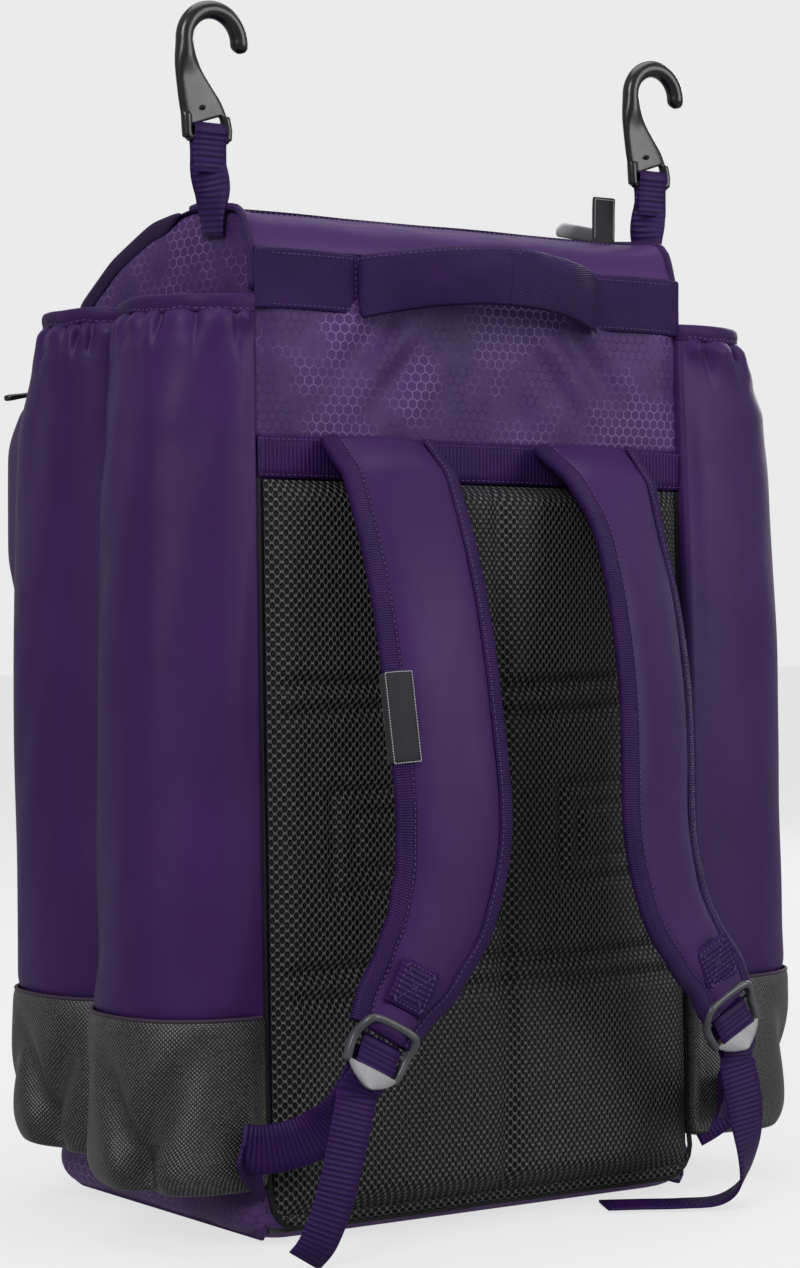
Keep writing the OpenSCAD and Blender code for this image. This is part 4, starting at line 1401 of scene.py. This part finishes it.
def lower_web(side):
    """Webbing from the bag's foot, over the lock's middle bar, and its hanging tail."""
    s = SIDES[side]
    r = 2.9
    low_across = lock_across(side)

    def on_side(*spots):
        return [Vector((s * x, y, z)) for x, y, z in spots]

    def on_lock(*spots):
        return [lock_point(side, 0, y, z) for y, z in spots]

    leg = on_side((165, -117, 55), (154, -121, 54), (142, -130, 57), (134.5, -143, 64), (131, -156, 74))
    leg += on_lock((r + 1.2, -20), (r, -9), (r, 1))
    loop = on_lock(*((r * math.cos(a), LOCK_MID + r * math.sin(a))
                     for a in map(math.radians, range(0, 200, 20))))
    down = on_lock((-r - 0.3, -1), (-r - 1.4, LOCK_LOW + 1), (-r + 0.9, -13), (1.4, -20))
    if side == "left":
        tail = on_side((127, -164.5, 82), (133.5, -166, 60), (141, -166, 34), (149, -164, 14),
                       (155, -160, 4.5))
        end_across = Vector((-0.97, -0.08, 0.22))
    else:
        tail = on_side((126, -164, 80), (130, -166, 56), (132, -166, 32), (131, -162, 14),
                       (122, -154, 4.0), (104, -143, 2.2), (84, -131, 2.0), (66, -122, 2.0))
        end_across = Vector((0.62, 0.78, 0.0))
    leg_path = evenly(curve(leg, 8), 2)
    across = []
    foot_across = Vector((0.1 * s, 0.1, 1.0)).normalized()
    for k in range(len(leg_path)):
        t = ease((k / (len(leg_path) - 1) - 0.25) / 0.6)
        across.append(foot_across.lerp(low_across, t).normalized())
    first = ribbon(f"lower_web_leg_{side}", leg_path, across, WEB_WIDE, WEB_THICK, WEBBING, None)
    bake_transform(first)
    path = evenly(curve([loop[0]] + loop[2:] + down + tail, 8), 1.8)
    across = []
    for k in range(len(path)):
        t = ease((k / (len(path) - 1) - 0.3) / 0.4)
        across.append(low_across.lerp(end_across, t).normalized())
    tail_web = ribbon(f"lower_web_tail_{side}", path, across, WEB_WIDE, WEB_THICK, WEBBING,
                      f"lock_{side}")
    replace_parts(tail_web, f"lower_web_{side}")
    path = evenly(curve(on_side((143, -104, 38), (151, -109.5, 43), (160, -114.5, 49),
                                (165, -118.5, 57)), 8), 2)
    wide = [lerp(30, WEB_WIDE, ease(k / (len(path) - 1))) for k in range(len(path))]
    anchor = ribbon(f"web_anchor_{side}", path, Vector((-0.5 * s, 0.5, 0.7)), wide, 1.8, GROSGRAIN_BAND,
                    "pack")
    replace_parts(anchor, f"web_anchor_{side}")


def strap_label():
    """Plain woven label over the left strap's outer edge, with a light border."""
    middle, half_tall = 272, 26
    section = ((13, 6.9), (9.5, 6.2), (5, 6.0), (2, 5.0), (-0.6, 2.6), (-1.0, 0), (-0.4, -2.4))
    rows = []
    for k, p in enumerate(STRAP_LINE):
        if abs(p.z - middle) < half_tall:
            w = table(p.z, HALF_W)
            rows.append([strap_point(k, w - a, o, "left") for a, o in section])
    label = grid("strap_label", rows, LABEL, "strap_left")
    face_outward(label)
    thicken(label, 0.9, 0)
    subdivide(label)
    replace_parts(label, "strap_label")
    edges = [[row[0] for row in rows], [row[4] for row in rows], rows[0][:5], rows[-1][:5]]
    lines = [[Vector((p.x, p.y - 0.7, p.z)) for p in line] for line in edges]
    stitches("strap_label_border", lines, "strap_left", LABEL_THREAD, pitch=1.4, length=1.2, radius=0.3)


# ---------------------------------------------------------------- fence hooks

HOOK_Y = -60
HOOK_X = box_mm("hook_strap_right")[1].x - 10
HOOK_Z = box_mm("fence_hook_right")[0].z
HOOK_WEB_WIDE = 20


def hook_strap(side):
    """Folded webbing from the bag's top corner, turned a quarter on its way to the hook."""
    s = SIDES[side]
    x = s * HOOK_X
    root = s * (SIDE_X + 4)
    body = f"hook_strap_{side}"
    points = [Vector((root, HOOK_Y + 1, 524)), Vector((root + s * 1.4, HOOK_Y, 538)),
              Vector((lerp(root, x, 0.4), HOOK_Y - 0.5, 548)), Vector((lerp(root, x, 0.9), HOOK_Y, 560)),
              Vector((x, HOOK_Y, HOOK_Z - 7)), Vector((x, HOOK_Y - 0.6, HOOK_Z))]
    path = evenly(curve(points, 8), 1.5)
    across = []
    for p in path:
        turn = ease((p.z - 526) / 48) * math.pi / 2
        across.append(Vector((-math.sin(turn), math.cos(turn), 0.0)))
    base = ribbon(f"hook_strap_{side}", path, across, HOOK_WEB_WIDE, 1.9, HOOK_WEB, None)
    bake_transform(base)
    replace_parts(base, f"hook_strap_{side}")
    r = 3.7
    loop = [Vector((x, HOOK_Y - 2.4, HOOK_Z - z)) for z in (18, 13, 2)]
    loop += [Vector((x, HOOK_Y + r * math.cos(a), HOOK_Z + 4 + r * math.sin(a)))
             for a in map(math.radians, range(200, -30, -20))]
    loop += [Vector((x, HOOK_Y + 1.6, HOOK_Z - 4)), Vector((x, HOOK_Y + 1.4, HOOK_Z - 13))]
    ribbon(f"hook_strap_loop_{side}", evenly(curve(loop, 4), 1.2), X_AXIS, HOOK_WEB_WIDE, WEB_THICK,
           HOOK_WEB, body)
    lines = [[Vector((x + dx, HOOK_Y - 3.6, HOOK_Z - z)) for dx in range(-8, 9, 2)] for z in (15, 9)]
    stitches(f"hook_strap_stitches_{side}", lines, body, THREAD_DARK, pitch=2.6, length=1.9, radius=0.24)


def fence_hook(side):
    """J-shaped moulding: a plate with raised rims, a slot for the webbing and a round-tipped throat."""
    cx = SIDES[side] * HOOK_X
    mid_x, mid_z, bow = 2.6, 51, 16.8
    body = f"fence_hook_{side}"

    def at(x, z, y=0.0):
        return Vector((cx + x, HOOK_Y + y, HOOK_Z + z))

    spine = [(-1.8, 13.8, 9), (-3.6, 13.2, 14), (-7.0, 11.3, 21.5), (-11.0, 8.4, 31.5), (-13.2, 6.6, 40)]
    for a in range(184, -18, -8):
        r = math.radians(a)
        wide = 4.8 + 0.5 * ease((20 - a) / 40)
        spine.append((mid_x + bow * math.cos(r), wide, mid_z + bow * math.sin(r)))
    spine = evenly(curve(spine, 6), 1.6)
    turns = directions([Vector((p.x, 0, p.z)) for p in spine])
    rows = []
    for k, (p, t) in enumerate(zip(spine, turns)):
        wide = p.y
        side_way = Vector((-t.z, 0, t.x))
        flat = ease((wide - 5.4) / 3.4)
        left = max(0, 1 - (len(spine) - 1 - k) * 1.6 / 5.0)
        close = min(1.0, math.sqrt(max(0.02, 1 - left ** 2)))
        row = []
        for j in range(28):
            a = 2 * math.pi * j / 28
            c, d = math.cos(a), math.sin(a)
            hollow = lerp(1.0, 0.55 + 0.45 * abs(c) ** 2.5, flat)
            c = math.copysign(abs(c) ** lerp(1.0, 0.85, flat), c)
            thick = lerp(4.7, 4.2, flat) * hollow * close
            row.append(at(p.x, p.z) + side_way * (wide * c * close) + Vector((0, thick * d, 0)))
        rows.append(row)
    parts = [grid("plate", rows, HOOK_PLASTIC, None, wrap=True, caps=(True, True))]
    for x0, x1 in ((-14.6, -12.2), (11.6, 11.6)):
        leg = evenly([at(x1, -0.2), at(x1 * 1.04, 5), at(x0 * 0.9, 12)], 1.5)
        parts.append(tube("leg", leg, 3.0, HOOK_PLASTIC, None, 14))
    foot = [at(-12.4, 0.2), at(-6, 0.1), at(6, 0.1), at(12.2, 0.2)]
    parts.append(tube("foot", foot, 2.6, HOOK_PLASTIC, None, 12))
    hook = join(f"fence_hook_{side}", parts)
    moulded(hook, 0.6, 10)
    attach(hook, body)
    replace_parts(hook, f"fence_hook_{side}")
    # A flattened near-black ball in the plate stands for the hole above the slot: painted shade.
    work = bmesh.new()
    bmesh.ops.create_uvsphere(work, u_segments=16, v_segments=8, radius=1.7)
    verts = [at(-4.6, 15.6, 0) + Vector((v.co.x, v.co.y * 3.1, v.co.z)) for v in work.verts]
    work.verts.index_update()
    faces = [[v.index for v in f.verts] for f in work.faces]
    work.free()
    add_piece(f"hook_hole_{side}", verts, faces, HOLE_SHADE, body,
              [(0, 0)] * sum(map(len, faces)))


# ---------------------------------------------------------------- zips, sliders and pulls

def slider_piece(name, body, origin, turn):
    """Zip slider: two rounded plates, a neck and a bail."""
    m = Matrix.Translation(origin) @ turn
    length, wide = 9.0, 8.0
    parts = [block("plate", size, m @ Matrix.Translation(spot), METAL_BLACK, bevel)
             for size, spot, bevel in (((length, wide, 1.3), (0, 0, 0.7), 0.5),
                                       ((length * 0.92, wide * 0.86, 1.2), (0, 0, 2.6), 0.5),
                                       ((3.6, 3.4, 2.2), (1.6, 0, 1.6), 0.4))]
    bail = curve([(-3.4, 0, 2.6), (-3.0, 0, 4.8), (-0.4, 0, 6.3), (2.2, 0, 5.2), (3.4, 0, 2.8)], 5)
    for dy in (-1.5, 1.5):
        wire = [m @ (p + Y_AXIS * dy) for p in bail]
        parts.append(tube("bail", wire, 0.65, METAL_BLACK, None, 8))
    slider = join(name, parts)
    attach(slider, body)
    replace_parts(slider, name)


def pull_piece(name, body, origin, turn, length, material, wide, thick):
    """Moulded pull that reaches towards -X of its own frame."""
    m = Matrix.Translation(origin) @ turn
    rows = []
    for k in range(25):
        t = k / 24
        x = lerp(1.4, -length, t)
        end = min(t, 1 - t)
        round_end = math.sqrt(max(0.02, 1 - (1 - min(1, end / 0.09)) ** 2))
        w = lerp(4.6, wide, ease((t - 0.08) / 0.14)) * round_end
        h = thick * (0.7 + 0.3 * round_end) * (1 - 0.25 * arch((t - 0.2) / 0.7))
        rows.append([m @ Vector((x, w / 2 * cy, h / 2 * cz)) for cy, cz in
                     ((-1, -.4), (-.9, -.8), (-.6, -1), (0, -1.06), (.6, -1), (.9, -.8), (1, -.4),
                      (1, .4), (.9, .8), (.6, 1), (0, 1.06), (-.6, 1), (-.9, .8), (-1, .4))])
    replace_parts(solid(name, rows, material, body), name)


def hardware():
    """The three zips' sliders and pulls."""
    level = Matrix.Identity(4)
    main = Vector((134, RIDGE_Y + 1, RIDGE_Z - 2.6))
    slider_piece("main_slider", "main_slider", main, level)
    tilt = Matrix.Rotation(math.radians(4), 4, "Y") @ Matrix.Rotation(math.radians(-50), 4, "X")
    pull_piece("main_pull", "main_pull", main + Vector((0, 0, 7.2)), tilt, 31, PULL_GREY, 9.5, 2.6)
    bail = 5.7
    upper = Vector((-124, 146, UPPER[1].z + 1.6))
    slope = Matrix.Rotation(math.radians(-10), 4, "Y")
    slider_piece("upper_slider", "upper_slider", upper, level)
    pull_piece("upper_pull", "upper_pull", upper + Z_AXIS * bail, slope, 38, PULL_BLACK, 7.4, 3.6)
    lower = Vector((-124, LOWER[1].y + 1.6, 270))
    hang = Matrix.Rotation(math.radians(240), 4, Vector((1, 1, 1)))
    slider_piece("lower_slider", "lower_slider", lower, hang)
    pull_piece("lower_pull", "lower_pull", lower + Y_AXIS * bail, hang, 36, PULL_BLACK, 7.4, 3.0)


def zip_label():
    """Plain folded label standing at the right end of the ridge zip, with a light border."""
    x0, x1, z0, z1, y = 118.4, 135.4, 541, 568, -45.4

    def spot(u, v, out):
        """Point at a share of the label's width and height, so far out from its middle."""
        bend = 2.0 * v * v + 0.5 * math.sin(v * 5)
        return Vector((lerp(x0, x1, u) + bend * 0.4, y - bend * 0.3 + out, lerp(z0 - 3, z1, v)))

    rows = [[spot(i / 6, k / 12, 0.3 * math.sin(i)) for i in range(7)] for k in range(13)]
    label = grid("zip_label", rows, LABEL, "pack")
    face_outward(label)
    thicken(label, 1.1, 0)
    subdivide(label)
    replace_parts(label, "zip_label")
    lines = [[spot(u, v, -0.75) for v in np.linspace(0.2, 0.95, 10)] for u in (0.1, 0.9)]
    lines.append([spot(u, 0.95, -0.75) for u in np.linspace(0.1, 0.9, 6)])
    stitches("zip_label_border", lines, "pack", LABEL_THREAD, pitch=1.5, length=1.3, radius=0.26)


# ---------------------------------------------------------------- build everything

seed = 1
for side in SIDES:
    for place in ("rear", "front"):
        make_sleeve(side, place, seed)
        make_boot(side, place, seed + 20)
        seed += 1
    side_panel(side)
top_strip()
ridge_zip()
make_lid()
front_panel()
make_tray()
upper_profile = [(119, UPPER[0].z + 2, 4), (182, UPPER[0].z, 26), (UPPER[1].y, 358, 30),
                 (UPPER[1].y, UPPER[1].z - 24, 22), (176, UPPER[1].z, 22), (119, UPPER[1].z, 3)]
pocket("upper_pocket", upper_profile, UPPER[1].x + 6, 61, 3.5)
lower_profile = [(114.5, LOWER[0].z, 4), (150, LOWER[0].z, 20), (LOWER[1].y - 4, 76, 28),
                 (LOWER[1].y - 4, LOWER[1].z - 14, 14), (154, LOWER[1].z, 12), (118, LOWER[1].z, 3)]
pocket("lower_pocket", lower_profile, LOWER[1].x, 67, 3.0)
proud = 0.9
zip_strip("upper_pocket_zip", Vector((-122, 140, UPPER[1].z + proud)),
          Vector((122, 152, UPPER[1].z + proud)), Z_AXIS, "upper_zip_coil")
zip_strip("lower_pocket_zip", Vector((-122, LOWER[1].y + proud, 264)),
          Vector((122, LOWER[1].y + proud, 276)), Y_AXIS, "lower_zip_coil")
back_pad()
back_trim()
yoke()
handle_anchors()
grab_handle()
for side in SIDES:
    shoulder_strap(side)
    strap_tab(side)
    ladder_lock(side)
    lower_web(side)
    hook_strap(side)
    fence_hook(side)
strap_label()
hardware()
zip_label()

for node, material, finish in (("back_panel", LINING, "lining"), ("frame_sheet", BOARD, "sheet"),
                               ("base_board", BOARD, "sheet")):
    for obj in bpy.data.objects:
        if obj.type == "MESH" and obj.name.split(".")[0] == node and not obj.hide_render:
            obj.data.materials.clear()
            obj.data.materials.append(material)


# ---------------------------------------------------------------- studio

# The studio is in metres.
BACKDROP = (0.83, 0.83, 0.835, 1)


def make_floor():
    """Wide pale floor, brighter to the camera than in its light on the bag."""
    shader = Shader("floor", (0.15, 0.15, 0.151, 1), 1.0, specular=0.0)
    shader.set("Emission Color", BACKDROP)
    seen = shader.node("LightPath", {})
    shader.set("Emission Strength", shader.calc("MULTIPLY_ADD", seen, 0.6, 0.24))
    mesh = bpy.data.meshes.new("floor")
    mesh.from_pydata([(-15, -15, 0), (15, -15, 0), (15, 15, 0), (-15, 15, 0)], [], [(0, 1, 2, 3)])
    mesh.materials.append(shader.material)
    floor = bpy.data.objects.new("floor", mesh)
    floor.location.z = -0.0005
    bpy.context.scene.collection.objects.link(floor)


def area_light(name, location, target, size, power):
    light = bpy.data.lights.new(name, "AREA")
    light.shape = "RECTANGLE"
    light.size, light.size_y = size
    light.energy = power
    obj = bpy.data.objects.new(name, light)
    obj.location = location
    obj.rotation_euler = (Vector(target) - Vector(location)).to_track_quat("-Z", "Y").to_euler()
    bpy.context.scene.collection.objects.link(obj)


make_floor()
area_light("key", (-2.3, -1.6, 1.9), (0, 0, 0.28), (1.2, 1.6), 56)
area_light("fill", (1.6, -2.4, 1.1), (0, 0, 0.28), (1.4, 1.6), 34)
area_light("top", (0.2, 0.2, 2.6), (0, 0, 0.3), (1.8, 1.8), 26)
area_light("edge", (2.4, 1.2, 1.4), (0, 0, 0.3), (0.8, 1.6), 22)

world = bpy.data.worlds.new("studio")
bpy.context.scene.world = world
world.use_nodes = True
sky = world.node_tree.nodes["Background"]
sky.inputs["Color"].default_value = BACKDROP
seen = world.node_tree.nodes.new("ShaderNodeLightPath").outputs["Is Camera Ray"]
strength = world.node_tree.nodes.new("ShaderNodeMath")
strength.operation = "MULTIPLY_ADD"
strength.inputs[1].default_value = 0.45
strength.inputs[2].default_value = 0.55
world.node_tree.links.new(seen, strength.inputs[0])
world.node_tree.links.new(strength.outputs[0], sky.inputs["Strength"])
bpy.context.scene.view_settings.view_transform = "Standard"

lens = bpy.data.cameras.new("camera")
lens.sensor_width, lens.lens = 36, 86.6
lens.shift_y = -0.0095
camera = bpy.data.objects.new("camera", lens)
camera.location = (-0.985, -1.427, 0.3217)
camera.rotation_euler = Vector((0.574, 0.819, 0)).to_track_quat("-Z", "Y").to_euler()
bpy.context.scene.collection.objects.link(camera)
bpy.context.scene.camera = camera
